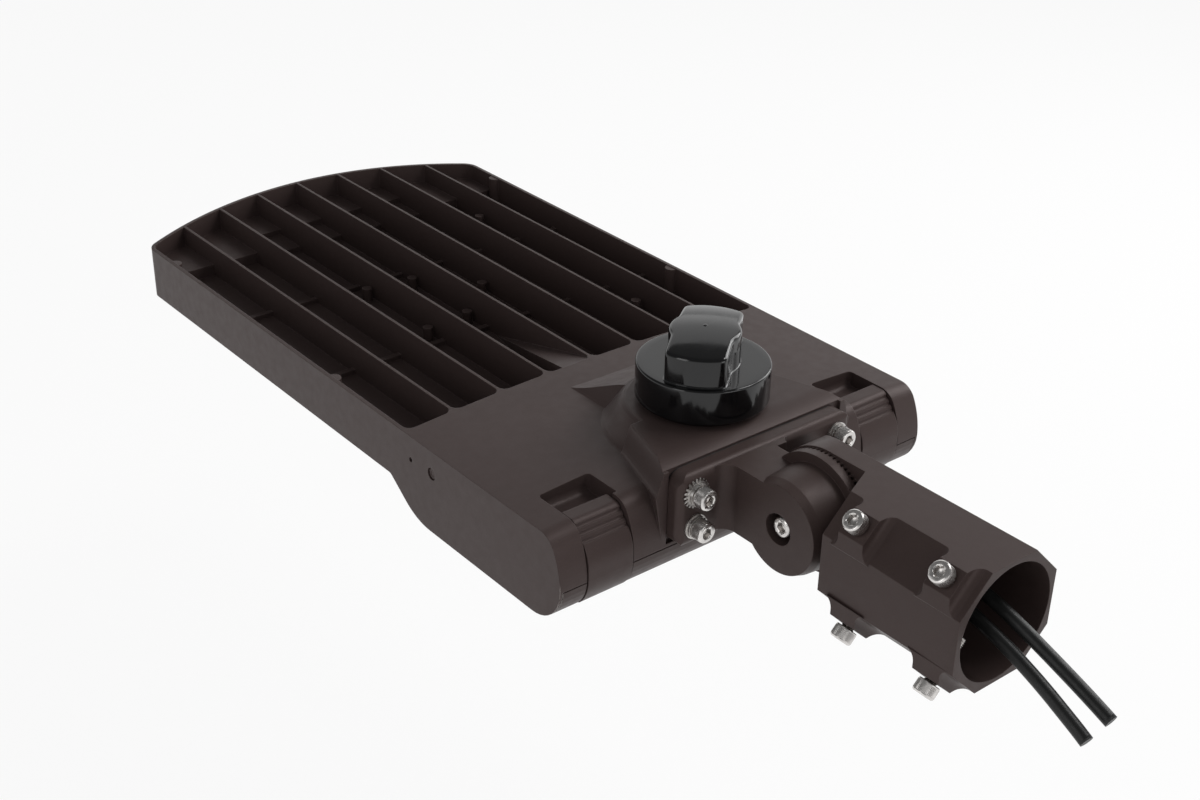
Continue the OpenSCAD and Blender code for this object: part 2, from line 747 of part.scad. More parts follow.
// Ribs, pads, posts, wire duct and wall bosses that stand in the channels
module channel_details() {
    intersection() {
        translate([0, 0, light_z]) linear_extrude(crown_z - light_z) polygon(plan_points(head_wall / 2));
        union() {
            for (y = rib_places) translate([-half, y - rib_l / 2, light_z + sink])
                cube([head_w, rib_l, floor_t + rib_h - sink]);
            translate([-half, head_front - pad_outer_l, light_z + sink])
                cube([head_w, head_l, floor_t + rib_h + sink]);
            for (s = [-1, 1])
                translate([s > 0 ? half - 2 * fin_pitch : -half, head_front - pad_outer_l, light_z + sink])
                    cube([2 * fin_pitch, head_l, floor_t + pad_h - sink]);
            translate([-2 * fin_pitch, head_front - pad_inner_l, light_z + sink])
                cube([4 * fin_pitch, head_l, floor_t + pad_h - sink]);
            for (p = post_places) translate([p[0], p[1], light_z + sink])
                cylinder(h = floor_t + post_h - sink, r = post_r);
        }
    }
    wire_duct();
    for (s = [-1, 1], y = wall_boss_places) intersection() {
        translate([s * (half - head_wall), head_front - y, light_z + sink])
            cylinder(h = side_top - light_z - 2 * sink, r = wall_boss_r);
        translate([0, 0, light_z]) linear_extrude(crown_z - light_z) polygon(plan_points(head_wall / 2));
    }
}

// Ejector posts, placed by channel and by distance from the fin beside them
post_places = [
    [-fin_pitch - fin_t / 2 - post_r - post_in, rib_places[2] + post_steps[0]],
    [-fin_pitch - fin_t / 2 - post_r - post_in, rib_places[1] + post_steps[1]],
    [-fin_t / 2 - post_r - post_in, rib_places[2] + post_steps[2]],
    [-fin_t / 2 - post_r - post_in, rib_places[1] + post_steps[3]],
    [fin_pitch - fin_t / 2 - post_r - post_in, rib_places[2] + post_steps[4]],
    [3 * fin_pitch - fin_t / 2 - post_r - 2 * post_in, rib_places[2] + post_steps[5]],
    [3 * fin_pitch - fin_t / 2 - post_r - 2 * post_in, rib_places[1] + post_steps[6]]
];

// Sloped cover of the wires between deck and channel floor
module wire_duct() {
    right = -fin_t / 2;
    intersection() {
        translate([0, 0, light_z + sink]) linear_extrude(crown_z - light_z) polygon([
            [right + sink, channel_y - over], [right - duct_w, channel_y - over],
            [right - duct_w, channel_y + sink],
            [right - duct_w / 2, channel_y + duct_l / 2], [right, channel_y + duct_l],
            [right + sink, channel_y + duct_l]
        ]);
        along_x(head_w) polygon([
            [channel_y - over, light_z], [channel_y - over, crown_z - sink], [channel_y + sink, crown_z - sink],
            [channel_y + duct_l, floor_z], [channel_y + duct_l, light_z]
        ]);
    }
}

// Space of the driver compartment inside the housing
module compartment() {
    slope_in = slope_r - head_wall;
    in_end = arc([slope_y, comp_z + slope_r], slope_in, 270 + slope_turn, 270 + slope_turn / 3);
    // behind the cross wall, between and behind the latches
    translate([-comp_half, head_rear + rear_block_side, seam_z - sink])
        cube([2 * comp_half, cross_wall_y - head_rear - rear_block_side, ceiling_z - seam_z + sink]);
    translate([-latch_x + latch_w / 2 + 2 * latch_wall, head_rear + rear_block, seam_z - sink])
        cube([
            2 * latch_x - latch_w - 4 * latch_wall, rear_block_side - rear_block + sink,
            ceiling_z - seam_z + sink
        ]);
    // in front of the cross wall, under the channels
    front_y = channel_y + over + 2 * floor_t;
    front_z = in_end[0][1] + (front_y - in_end[0][0]) * tan(slope_turn);
    along_x(2 * comp_half) difference() {
        polygon(concat(
            [
                [cross_wall_y + cross_wall_t, seam_z - sink], [cross_wall_y + cross_wall_t, ceiling_z],
                [channel_y - head_wall, ceiling_z], [channel_y - head_wall, light_z],
                [front_y, light_z], [front_y, front_z]
            ],
            in_end,
            [[hinge_y, hinge_z], [hinge_y, seam_z - sink]]
        ));
        translate(hinge_c) circle(r = hinge_r + seat_gap + head_wall);
    }
}

// Space that the door takes in the housing, with the sweep of its hinge side
module door_space() {
    space_half = half - skirt_t;
    along_x(2 * space_half) {
        polygon([
            [head_rear - over, seam_z], [head_rear - over, comp_z - over],
            [hinge_y, comp_z - over], [hinge_y, seam_z]
        ]);
        translate(hinge_c) circle(r = hinge_r + seat_gap);
        translate([hinge_y, comp_z - over]) square([hinge_r + seat_gap, hinge_z - comp_z + over]);
    }
}

// The housing's lugs round the hinge pins
module hinge_lugs() {
    for (s = [-1, 1], t = [-1, 1]) translate([s * hinge_x + t * (hinge_span + lug_t) / 2, 0, 0]) along_x(lug_t) {
        translate(hinge_c) circle(r = hinge_r - rub_gap);
        translate([hinge_y, comp_z + rub_gap]) square([hinge_r + seat_gap + sink, hinge_r]);
        translate([hinge_y, hinge_z]) square([hinge_r + seat_gap + sink, hinge_r - 2 * rub_gap]);
    }
}

// Outer outline of a latch in (y, z), from its flat top down to its rear, moved outwards by off
latch_c1 = [head_rear + latch_flat_end, side_top + latch_top - latch_top_r];
latch_c2_y = head_rear - latch_proud + latch_low_r;
latch_grip_l = (latch_c1[0] - latch_c2_y + (latch_low_r - latch_top_r) * sin(latch_turn)) / cos(latch_turn);
latch_c2 = [
    latch_c2_y,
    latch_c1[1] + (latch_top_r - latch_low_r) * cos(latch_turn) - latch_grip_l * sin(latch_turn)
];
function latch_points(off) = concat(
    arc(latch_c1, latch_top_r + off, 90, 90 + latch_turn), arc(latch_c2, latch_low_r + off, 90 + latch_turn, 180)
);

// Outline of the space round a latch, below the parting line
module latch_low_outline(gap) {
    translate([latch_py, latch_pz]) circle(r = latch_barrel_r + gap);
    polygon([
        [head_rear - over, seam_z + over], [head_rear - over, latch_pz - latch_barrel_r],
        [latch_py - latch_barrel_r / 2, latch_pz - latch_barrel_r], [latch_py, latch_pz],
        [head_rear + latch_t + gap, latch_pz + latch_barrel_r], [head_rear + latch_t + gap, seam_z + over]
    ]);
}

// Nearest that the closed latch comes to the door's hinge
latch_lip_z = side_top + latch_top - latch_t;
latch_swing_r = norm([hinge_y - latch_edge, latch_lip_z - hinge_z]) - 2 * seat_gap;

// Space round a latch in the housing and the door
module latch_space() {
    gap = seat_gap + rub_gap;
    translate([latch_x, 0, 0]) along_x(latch_w + 2 * latch_side_gap) {
        polygon(concat(
            [
                [head_rear - over, crown_z + over], [latch_edge + latch_side_gap, crown_z + over],
                [latch_edge + latch_side_gap, latch_lip_z - gap]
            ],
            latch_points(-latch_t - gap),
            [[head_rear - latch_proud + latch_t + gap, latch_pz], [head_rear - over, latch_pz]]
        ));
        latch_low_outline(gap);
        // room for the closed latch when the door swings down with it
        difference() {
            translate([head_rear - over, latch_pz]) square([over + latch_front, latch_lip_z - latch_pz]);
            translate(hinge_c) circle(r = latch_swing_r);
        }
    }
}

// Finger pocket in front of a latch
module finger_pocket() {
    outer = latch_x + latch_w / 2 + latch_side_gap;
    low = side_top - pocket_depth;
    far = latch_edge + pocket_l;
    intersection() {
        along_x(head_w) polygon(concat(
            [[far, crown_z + over], [latch_edge - latch_t, crown_z + over], [latch_edge - latch_t, low]],
            arc([far - pocket_fillet, low + pocket_fillet], pocket_fillet, 270, 360)
        ));
        translate([0, 0, low - over]) linear_extrude(comp_depth)
            round_rect(outer - pocket_w, outer, latch_edge - latch_t - pocket_r, far, pocket_r);
    }
}

// Seat and screw holes of the bracket in the housing's rear
module bracket_seat() {
    translate([-flange_half - rub_gap, head_rear - over, flange_low - rub_gap])
        cube([2 * (flange_half + rub_gap), over + seat_depth, 2 * comp_depth]);
    for (p = bolt_places) rod_y(head_rear, bolt_tip + seat_gap, m8_r + fit, p[0], p[1]);
    rod_y(head_rear, head_rear + rear_block + sink, wire_way_r, wire_way_x, 0);
}

// Light opening in the underside
module light_opening() {
    intersection() {
        translate([0, 0, thin_z - over]) linear_extrude(light_z - thin_z + over) polygon(plan_points(rim_w));
        translate([-half, light_y, thin_z - over]) cube([head_w, head_l, 2 * thin_depth]);
    }
    for (s = [-1, 1]) translate([s * lens_w / 2 - wire_pass, channel_y, light_z - 2 * wire_pass])
        cube([2 * wire_pass, light_y + sink - channel_y, 2 * wire_pass]);
}

// Die-cast housing with fins, boss and compartment
module housing() {
    color(cast) difference() {
        union() {
            difference() {
                union() {
                    head_form();
                    boss_form();
                }
                channels();
                compartment();
                door_space();
                light_opening();
            }
            channel_details();
            hinge_lugs();
        }
        bracket_seat();
        translate([0, cell_y, ceiling_z - over]) cylinder(h = comp_depth, r = cell_stem_r + stem_gap);
        for (m = [0, 1]) mirror([m, 0, 0]) {
            latch_space();
            finger_pocket();
            rod_x(hinge_x - hinge_span, hinge_x + hinge_span, hinge_pin_r + fit, hinge_y, hinge_z);
            rod_y(
                cross_wall_y - sink, cross_wall_y + cross_wall_t + sink, wire_pass + head_wall / 2, lens_w / 2, floor_z
            );
            rod_x(half - over, half + over, side_hole_r, head_rear + side_hole_y, side_top - side_hole_low);
            rod_x(half - head_wall / 2, half + over, plug_r, head_rear + plug_y, side_top - plug_low);
        }
        for (x = [-1, 1], p = lens_screw_shares) translate([
            x * (lens_gap + lens_w * p[0]), lens_y + lens_l * p[1], light_z - over
        ]) cylinder(h = over + floor_t * 3 / 4, r = m4_r + fit);
        for (p = ceiling_screws) translate([p[0], p[1], ceiling_z - over])
            cylinder(h = over + deck_t * 3 / 4, r = m4_r + fit);
    }
}

// Outline of the door from the side, with its hinge barrel
door_cut_turn = asin((comp_z + rear_low_r - door_top) / rear_low_r);
door_points = concat(
    [[door_front, door_top]],
    arc(low_c, rear_low_r, 180 + door_cut_turn, 270),
    arc(hinge_c, hinge_r, 270, 540, 2 * arc_steps)
);

// Hollow between the door's rear skin and its rear rib
rear_hollow_turn = acos((head_rear + rear_low_r - rib_y) / (rear_low_r - door_t));
rear_hollow_points = concat(
    [[rib_y, door_top + over], [head_rear + door_t, door_top + over]],
    arc(low_c, rear_low_r - door_t, 180, 180 + rear_hollow_turn)
);

// Hinged door of the driver compartment
module door() {
    in_half = door_half - rib_t;
    block_half = latch_w / 2 + latch_side_gap + latch_wall;
    color(cast) difference() {
        along_x(2 * door_half) polygon(door_points);
        translate([-in_half, rib_y + rib_t, comp_z + door_t])
            cube([2 * in_half, door_rib_front - rib_y - 2 * rib_t, comp_depth]);
        along_x(2 * (latch_x - block_half)) polygon(rear_hollow_points);
        for (s = [-1, 1]) translate([s * (in_half + latch_x + block_half) / 2, 0, 0])
            along_x(in_half - latch_x - block_half) polygon(rear_hollow_points);
        for (s = [-1, 1]) {
            translate([s * latch_x, 0, 0]) along_x(latch_w + 2 * latch_side_gap)
                latch_low_outline(seat_gap + rub_gap);
            rod_x(
                s * latch_x - latch_w / 2 - latch_wall, s * latch_x + latch_w / 2 + latch_wall,
                latch_pin_r + fit, latch_py, latch_pz
            );
            for (t = [-1, 1]) translate([s * hinge_x + t * (hinge_span + lug_t) / 2, 0, 0])
                along_x(lug_t + 2 * rub_gap) translate([door_front - rub_gap, comp_z - over])
                square([2 * hinge_r + over, over + 2 * hinge_r + seat_gap]);
            rod_x(
                s * hinge_x - hinge_span / 2 - lug_t, s * hinge_x + hinge_span / 2 + lug_t,
                hinge_pin_r + fit, hinge_y, hinge_z
            );
        }
        gasket_ring(over, fit);
    }
}

// Ring shape of the door's gasket, from its groove's floor up
module gasket_ring(height, gap) {
    y0 = rib_y + (rib_t - gasket_w) / 2;
    y1 = door_rib_front - (rib_t - gasket_w) / 2;
    x1 = door_half - (rib_t - gasket_w) / 2;
    translate([0, 0, door_top - gasket_h]) linear_extrude(height) difference() {
        round_rect(-x1 - gap, x1 + gap, y0 - gap, y1 + gap, gasket_w);
        round_rect(
            gasket_w + gap - x1, x1 - gasket_w - gap, y0 + gasket_w + gap, y1 - gasket_w - gap, gasket_w / 2
        );
    }
}

// Rubber gasket in the door's groove
module door_gasket() {
    color(rubber) gasket_ring(gasket_h + seam_gap - fit, 0);
}

// Two pins that carry the door
module door_hinge_pins() {
    reach = hinge_span / 2 + lug_t;
    color(steel) for (s = [-1, 1])
        rod_x(s * hinge_x - reach, s * hinge_x + reach, hinge_pin_r, hinge_y, hinge_z);
}

// Two pins that carry the latches
module latch_pins() {
    reach = latch_w / 2 + latch_wall;
    color(steel) for (s = [-1, 1])
        rod_x(s * latch_x - reach, s * latch_x + reach, latch_pin_r, latch_py, latch_pz);
}

// Latch with a slanted, grooved grip
module latch(side) {
    back = head_rear - latch_proud;
    out_r = latch_top_r + grip_r / 2;
    color(cast) translate([side * latch_x, 0, 0]) difference() {
        along_x(latch_w) {
            difference() {
                polygon(concat(
                    [[latch_edge, side_top + latch_top]], latch_points(0), [[back, seam_z], [latch_edge, seam_z]]
                ));
                polygon(concat(
                    [[latch_edge + over, latch_lip_z]], latch_points(-latch_t),
                    [[back + latch_t, seam_z - over], [latch_edge + over, seam_z - over]]
                ));
            }
            intersection() {
                union() {
                    polygon([
                        [back - over, seam_z + sink], [back - over, latch_pz], [latch_py, latch_pz],
                        [back + latch_t, latch_pz + latch_barrel_r], [back + latch_t, seam_z + sink]
                    ]);
                    translate([latch_py, latch_pz]) circle(r = latch_barrel_r);
                }
                translate(low_c) circle(r = rear_low_r + latch_proud);
            }
        }
        for (k = [1 : 3]) let (l = grip_pitch * (k - 3/4)) rod_x(
            -latch_w, latch_w, grip_r, latch_c1[0] - out_r * sin(latch_turn) - l * cos(latch_turn),
            latch_c1[1] + out_r * cos(latch_turn) - l * sin(latch_turn)
        );
        rod_x(-latch_w, latch_w, latch_pin_r + fit, latch_py, latch_pz);
    }
}
module latch_left() {
    latch(-1);
}
module latch_right() {
    latch(1);
}

// Cast bracket: flange, arm and toothed knuckle disc
module mounting_bracket() {
    color(cast) difference() {
        union() {
            flange_form();
            translate([arm_left, knuckle_y, arm_low])
                cube([ring_right - arm_left, flange_back - knuckle_y + sink, flange_top - arm_low]);
            translate([arm_left, web_y, arm_low])
                cube([arm_right - arm_left, flange_back - web_y + sink, flange_top - arm_low]);
            translate([0, 0, arm_low]) linear_extrude(flange_top - arm_low) {
                difference() {
                    translate([arm_left - arm_fillet, flange_back - arm_fillet])
                        square([arm_fillet + sink, arm_fillet + sink]);
                    translate([arm_left - arm_fillet, flange_back - arm_fillet]) circle(r = arm_fillet);
                }
                difference() {
                    translate([arm_right - sink, flange_back - arm_fillet / 2])
                        square([arm_fillet / 2 + sink, arm_fillet / 2 + sink]);
                    translate([arm_right + arm_fillet / 2, flange_back - arm_fillet / 2])
                        circle(r = arm_fillet / 2);
                }
            }
            translate([0, knuckle_y, 0]) rotate([0, 90, 0]) rotate_extrude() polygon([
                [0, arm_left], [disc_face_r, arm_left], [disc_edge_r, arm_left + disc_bevel],
                [disc_r, ring_left], [tooth_r, ring_left],
                [tooth_r, ring_right - tooth_h], [0, ring_right - tooth_h]
            ]);
            tooth_ring(ring_right - tooth_h - sink, ring_right, tooth_r - fit);
        }
        rod_x(arm_left - over, ring_right + over, m8_r + fit, knuckle_y, 0);
        rod_x(arm_left - over, arm_left + bolt_recess, bolt_recess_r, knuckle_y, 0);
        rod_x(ring_right - tooth_h, ring_right + over, bolt_recess_r, knuckle_y, 0);
        for (p = bolt_places) rod_y(flange_back - over, flange_front + over, m8_r + seat_gap, p[0], p[1]);
        rod_y(knuckle_y + disc_r / 2, flange_front + over, wire_way_r, wire_way_x, 0);
    }
}

// Flange with round corners and rounded outer edges
module flange_form() {
    e = flange_edge_r;
    intersection() {
        along_y(flange_back, flange_front) round_rect(-flange_half, flange_half, flange_low, flange_top, flange_r);
        along_x(head_w) {
            translate([flange_back, flange_low + e]) square([flange_t + over, flange_top - flange_low - 2 * e]);
            translate([flange_back + e, flange_low]) square([flange_t + over, flange_top - flange_low]);
            for (z = [flange_low + e, flange_top - e]) translate([flange_back + e, z]) circle(r = e);
        }
        translate([0, 0, flange_low - over]) linear_extrude(flange_top - flange_low + 2 * over) {
            translate([e - flange_half, flange_back]) square([2 * (flange_half - e), flange_t + over]);
            translate([-flange_half, flange_back + e]) square([2 * flange_half, flange_t + over]);
            for (s = [-1, 1]) translate([s * (flange_half - e), flange_back + e]) circle(r = e);
        }
    }
}

// Ring of radial teeth about the knuckle's axis, from x0 to x1
module tooth_ring(x0, x1, r) {
    step = 360 / tooth_count;
    translate([x0, knuckle_y, 0]) rotate([90, 0, 90]) linear_extrude(x1 - x0) polygon([
        for (i = [0 : tooth_count - 1]) each [
            r * [cos(i * step), sin(i * step)], r * [cos((i + 1/2) * step), sin((i + 1/2) * step)],
            tooth_in_r * [cos((i + 1/2) * step), sin((i + 1/2) * step)],
            tooth_in_r * [cos((i + 1) * step), sin((i + 1) * step)]
        ]
    ]);
}

// Thin gasket between the flange and the head
module bracket_gasket() {
    color(rubber) difference() {
        along_y(flange_front, flange_front + flat_gasket_t) round_rect(
            rub_gap - flange_half, flange_half - rub_gap, flange_low + rub_gap, flange_top - rub_gap, flange_r
        );
        for (p = bolt_places) rod_y(flange_back, head_rear + over, m8_r + seat_gap, p[0], p[1]);
        rod_y(flange_back, head_rear + over, wire_way_r, wire_way_x, 0);
    }
}

// Place of flange bolt i at depth y, behind the toothed washer that the upper left one has
module at_bolt(i, y) {
    translate([bolt_places[i][0], y - (i == 0 ? lock_t : 0), bolt_places[i][1]]) rotate([90, 0, 0]) children();
}

module bracket_bolts() {
    color(steel) for (i = [0 : len(bolt_places) - 1])
        at_bolt(i, bolt_seat) socket_screw(flange_bolt_l);
}

module spring_washers() {
    color(steel) for (i = [0 : len(bolt_places) - 1])
        at_bolt(i, bolt_seat + spring_t) difference() {
            cylinder(h = spring_t, r = spring_r);
            bore(m8_r + seat_gap);
            rotate([0, 0, 45]) translate([0, -spring_split / 2, -over])
                cube([2 * spring_r, spring_split, 2 * over]);
        }
}

module flat_washers() {
    color(steel) for (i = [0 : len(bolt_places) - 1]) at_bolt(i, flange_back) difference() {
        cylinder(h = washer_t, r = washer_r);
        bore(m8_r + seat_gap);
    }
}

// Toothed washer that bites through the paint at the upper left bolt
module tooth_lock_washer() {
    teeth = 20;
    p = bolt_places[0];
    color(steel) difference() {
        translate([p[0], flange_back, p[1]]) rotate([90, 0, 0]) linear_extrude(lock_t) polygon([
            for (i = [0 : teeth - 1]) each [
                lock_r * [cos(360 * i / teeth), sin(360 * i / teeth)],
                lock_r * [cos(360 * (i + 1/3) / teeth), sin(360 * (i + 1/3) / teeth)],
                washer_r * [cos(360 * (i + 1/2) / teeth), sin(360 * (i + 1/2) / teeth)],
                washer_r * [cos(360 * (i + 5/6) / teeth), sin(360 * (i + 5/6) / teeth)]
            ]
        ]);
        rod_y(flange_back - over, flange_back + over, m8_r + seat_gap, p[0], p[1]);
    }
}

// Plug screw in the recess of each side wall
module side_plug_screw() {
    color([0.20, 0.18, 0.17]) for (m = [0, 1]) mirror([m, 0, 0]) difference() {
        rod_x(half - head_wall / 2, half - plug_sink, plug_r - seat_gap, head_rear + plug_y, side_top - plug_low);
        translate([half, head_rear + plug_y, side_top - plug_low]) rotate([0, 90, 0])
            cylinder(h = 2 * plug_sink + sink, r = plug_r / 2, center = true, $fn = 6);
    }
}

// Raised seat of a clamp screw on the socket's slanted flats
module screw_boss(p) {
    h = screw_boss_l / 2;
    f = screw_boss_fillet;
    along_x(socket_af) polygon(concat(
        [[p - h - f, chamfer_r - sink]],
        arc([p - h - f, chamfer_r + f], f, 270, 360),
        [[p - h, screw_seat_r], [p + h, screw_seat_r]],
        arc([p + h + f, chamfer_r + f], f, 180, 270),
        [[p + h + f, chamfer_r - sink]]
    ));
}

// Turns to the two slanted flats that carry screws
screw_turns = [-45, -135];

// Cast slipfitter: octagonal socket with the ear of the knuckle
module slipfitter_body() {
    wide = flat_r + draft;
    color(cast) difference() {
        union() {
            intersection() {
                linear_extrude(socket_af, center = true) polygon([
                    [-wide, 0], [flat_r, 0], [flat_r, knuckle_y + flat_r], [ear_x, knuckle_y + flat_r],
                    [ear_x, slant_l], [slant_x, socket_l], [draft - flat_r, socket_l]
                ]);
                along_y(0, knuckle_y + flat_r) polygon([
                    [-wide, chamfer_sum - wide], [-flat_half, flat_r], [flat_half, flat_r], [flat_r, flat_half],
                    [flat_r, -flat_half], [flat_half, -flat_r], [-flat_half, -flat_r], [-wide, wide - chamfer_sum]
                ]);
                along_x(2 * wide) {
                    translate([0, -flat_r]) square([knuckle_y, socket_af]);
                    translate([knuckle_y, 0]) circle(r = flat_r);
                }
            }
            intersection() {
                for (a = screw_turns, p = screw_places) rotate([0, a, 0]) screw_boss(p);
                translate([-wide, 0, -flat_r]) cube([2 * wide, socket_l, socket_af]);
            }
        }
        rod_y(-over, bore_l, bore_r, 0, 0);
        rod_y(bore_l - sink, knuckle_y - tooth_in_r, grommet_r - grommet_lip, grommet_x, grommet_z);
        rod_x(-half, ear_x, tooth_r + 2 * rub_gap, knuckle_y, 0);
        rod_x(0, half, m8_r + fit, knuckle_y, 0);
        rod_x(nut_floor, half, nut_pocket_r, knuckle_y, 0);
        for (a = screw_turns, p = screw_places) translate([0, p, 0]) rotate([0, a, 0])
            cylinder(h = half, r = m8_r + fit);
    }
    color(cast) difference() {
        tooth_ring(ear_x - tooth_h, ear_x + sink, tooth_r - fit);
        rod_x(0, half, bolt_recess_r, knuckle_y, 0);
    }
}

module clamp_screws() {
    color(steel) for (a = screw_turns, p = screw_places)
        translate([0, p, 0]) rotate([0, a, 0]) translate([0, 0, clamp_head_r]) socket_screw(clamp_l);
}

// Bolt of the knuckle, along X
module knuckle_bolt() {
    seat = bolt_floor - rub_gap - washer_t;
    color(steel) translate([seat, knuckle_y, 0]) rotate([0, -90, 0])
        socket_screw(nut_floor + nut_h + seat_gap - seat);
}

module knuckle_washer() {
    color(steel) difference() {
        rod_x(bolt_floor - rub_gap - washer_t, bolt_floor - rub_gap, washer_r, knuckle_y, 0);
        rod_x(arm_left, 0, m8_r + fit, knuckle_y, 0);
    }
}

module knuckle_nut() {
    color(steel) translate([nut_floor, knuckle_y, 0]) rotate([0, 90, 0]) difference() {
        cylinder(h = nut_h, r = nut_af / sqrt(3), $fn = 6);
        bore(m8_r + fit);
    }
}

// Rubber grommet where the supply cables enter the socket's end wall
module cable_grommet() {
    color(rubber) {
        rod_y(bore_l - grommet_collar, bore_l, grommet_r, grommet_x, grommet_z);
        rod_y(bore_l - sink, socket_l - seat_gap, grommet_r - grommet_lip - fit, grommet_x, grommet_z);
    }
}

// Route points of the supply cables, from the grommet out of the socket's mouth
grommet_face = bore_l - grommet_collar;
right_route = [
    [3, grommet_face, 13], [3, 80, 13], [3, 70, 13], [3.2, 60, 12.5], [3.4, 50, 11.6], [3.6, 40, 10.4],
    [3.8, 30, 9], [4, 20, 7], [4, 10, 4.7], [4, 0, 1.9], [4, -10, -1.4], [4, -20, -4.9], [4, -30, -8.5],
    [4, -40, -12.2], [4, -50, -16], [4, -60, -20], [4, -69.5, -24]
];
left_route = [
    [-5, grommet_face, 5], [-5, 80, 5], [-5, 70, 5], [-5, 60, 4.6], [-5, 50, 3.7], [-5, 40, 2.3],
    [-5.2, 30, 0.4], [-5.5, 20, -1.8], [-5.8, 10, -4.2], [-6.3, 0, -6.6], [-7, -10, -9.1], [-7.9, -20, -12],
    [-8.8, -30, -15.2], [-9.7, -40, -18.8], [-10.6, -50, -22.8], [-11.4, -60, -27], [-12, -67.5, -30.5]
];
module supply_cable_left() {
    color(rubber) wire(left_route, cable_d / 2, [1, 0, 0], 12);
}
module supply_cable_right() {
    color(rubber) wire(right_route, cable_d / 2, [1, 0, 0], 12);
}

// Arc wall about the vertical axis, from angle a0 over an angle of turn
module arc_wall(r0, r1, z0, z1, a0, turn) {
    rotate([0, 0, a0]) rotate_extrude(angle = turn) translate([r0, z0]) square([r1 - r0, z1 - z0]);
}

// Twist-lock receptacle on the boss
module photocell_receptacle() {
    foot = boss_z + flat_gasket_t;
    slack = 3;
    color([0.06, 0.06, 0.065]) translate([0, cell_y, 0]) difference() {
        rotate_extrude() polygon([
            [0, cell_low], [cell_stem_r, cell_low], [cell_stem_r, foot], [cell_foot_r, foot],
            [cell_foot_r, foot + cell_foot_t], [cell_body_r, foot + cell_foot_t],
            [cell_body_r, cell_top], [0, cell_top]
        ]);
        for (k = [0 : 2]) arc_wall(
            blade_mid_r - blade_t - 4 * fit, blade_mid_r + blade_t + 4 * fit, foot + cell_foot_t, cell_top + over,
            120 * k - slack, blade_span + cap_travel + 2 * slack
        );
    }
}

module receptacle_contacts() {
    color(brass) translate([0, cell_y, 0]) for (k = [0 : 3])
        arc_wall(contact_r, contact_r + contact_w, cell_top, cell_top + chip_t, 90 * k + 30, 30);
}

module receptacle_gasket() {
    color(rubber) translate([0, cell_y, 0])
        arc_wall(cell_stem_r + cell_foot_t, cell_foot_r, boss_z, boss_z + flat_gasket_t, 0, 360);
}

// Shorting cap: ring with a domed grip bar on top
module shorting_cap() {
    in_top = ring_top - cap_top_t;
    dome = (grip_end_r * grip_end_r + grip_fall * grip_fall) / (2 * grip_fall);
    color([0.04, 0.04, 0.045]) translate([0, cell_y, 0]) {
        rotate_extrude() polygon(concat(
            [
                [0, in_top], [cap_in_r, in_top], [cap_in_r, cap_low], [cap_r - cap_taper_w, cap_low],
                [cap_r, cap_low + cap_taper_h]
            ],
            arc([cap_r - cap_edge_r, ring_top - cap_edge_r], cap_edge_r, 0, 90),
            [[0, ring_top]]
        ));
        rotate([0, 0, grip_turn]) intersection() {
            translate([0, 0, ring_top - sink]) linear_extrude(grip_h + over) {
                intersection() {
                    circle(r = grip_end_r);
                    square([2 * grip_end_r, 2 * grip_half], center = true);
                }
                circle(r = grip_mid_r);
            }
            translate([0, 0, ring_top + grip_h - dome]) sphere(r = dome);
        }
        translate([0, 0, ring_top + grip_h - 2 * pip_r]) cylinder(h = 2 * pip_r + sink, r = pip_r);
    }
}

module cap_blades() {
    color(brass) translate([0, cell_y, 0]) for (k = [0 : 2])
        arc_wall(
            blade_mid_r - blade_t / 2, blade_mid_r + blade_t / 2,
            boss_z + flat_gasket_t + cell_foot_t + 2 * wire_r,
            ring_top - cap_top_t, 120 * k, blade_span
        );
}

// Sealing ring inside the cap's skirt
module cap_gasket() {
    color([0.25, 0.10, 0.06]) translate([0, cell_y, 0]) arc_wall(
        cell_body_r + rub_gap, cap_in_r - fit, cap_low + cap_taper_h + cap_edge_r,
        cap_low + cap_taper_h + 3 * cap_edge_r, 0, 360
    );
}

// Both places of a light field, as the left edge of its lens panel
field_x = [lens_gap, -lens_gap - lens_w];
board_in = lens_gasket_w + seat_gap;

module field_holes(z0, z1) {
    for (p = lens_screw_shares) translate([lens_w * p[0], lens_l * p[1], z0])
        cylinder(h = z1 - z0, r = m4_r + fit);
}

module light_boards() {
    color([0.88, 0.88, 0.86]) for (x = field_x) translate([x, lens_y, 0]) difference() {
        translate([board_in, board_in, light_z - board_t])
            cube([lens_w - 2 * board_in, lens_l - 2 * board_in, board_t]);
        field_holes(light_z - over, light_z + over);
    }
}

module light_chips() {
    color([0.95, 0.82, 0.35]) for (x = field_x, i = [0 : chips_x - 1], j = [0 : chips_y - 1])
        translate([
            x + chip_pitch_x * (i + 1/2) - chip_w / 2, lens_y + chip_pitch_y * (j + 1/2) - chip_w / 2,
            light_z - board_t - chip_t
        ]) cube([chip_w, chip_w, chip_t]);
}

module lens_gaskets() {
    w = lens_gasket_w;
    color(rubber) for (x = field_x) translate([x, lens_y, lens_z]) difference() {
        cube([lens_w, lens_l, lens_gasket_t]);
        translate([w, w, -over]) cube([lens_w - 2 * w, lens_l - 2 * w, 2 * over]);
        translate([(x > 0 ? lens_w / 2 : -lens_w / 2) - x - wire_pass, -over, -over])
            cube([2 * wire_pass, over + w + sink, 2 * over]);
    }
}

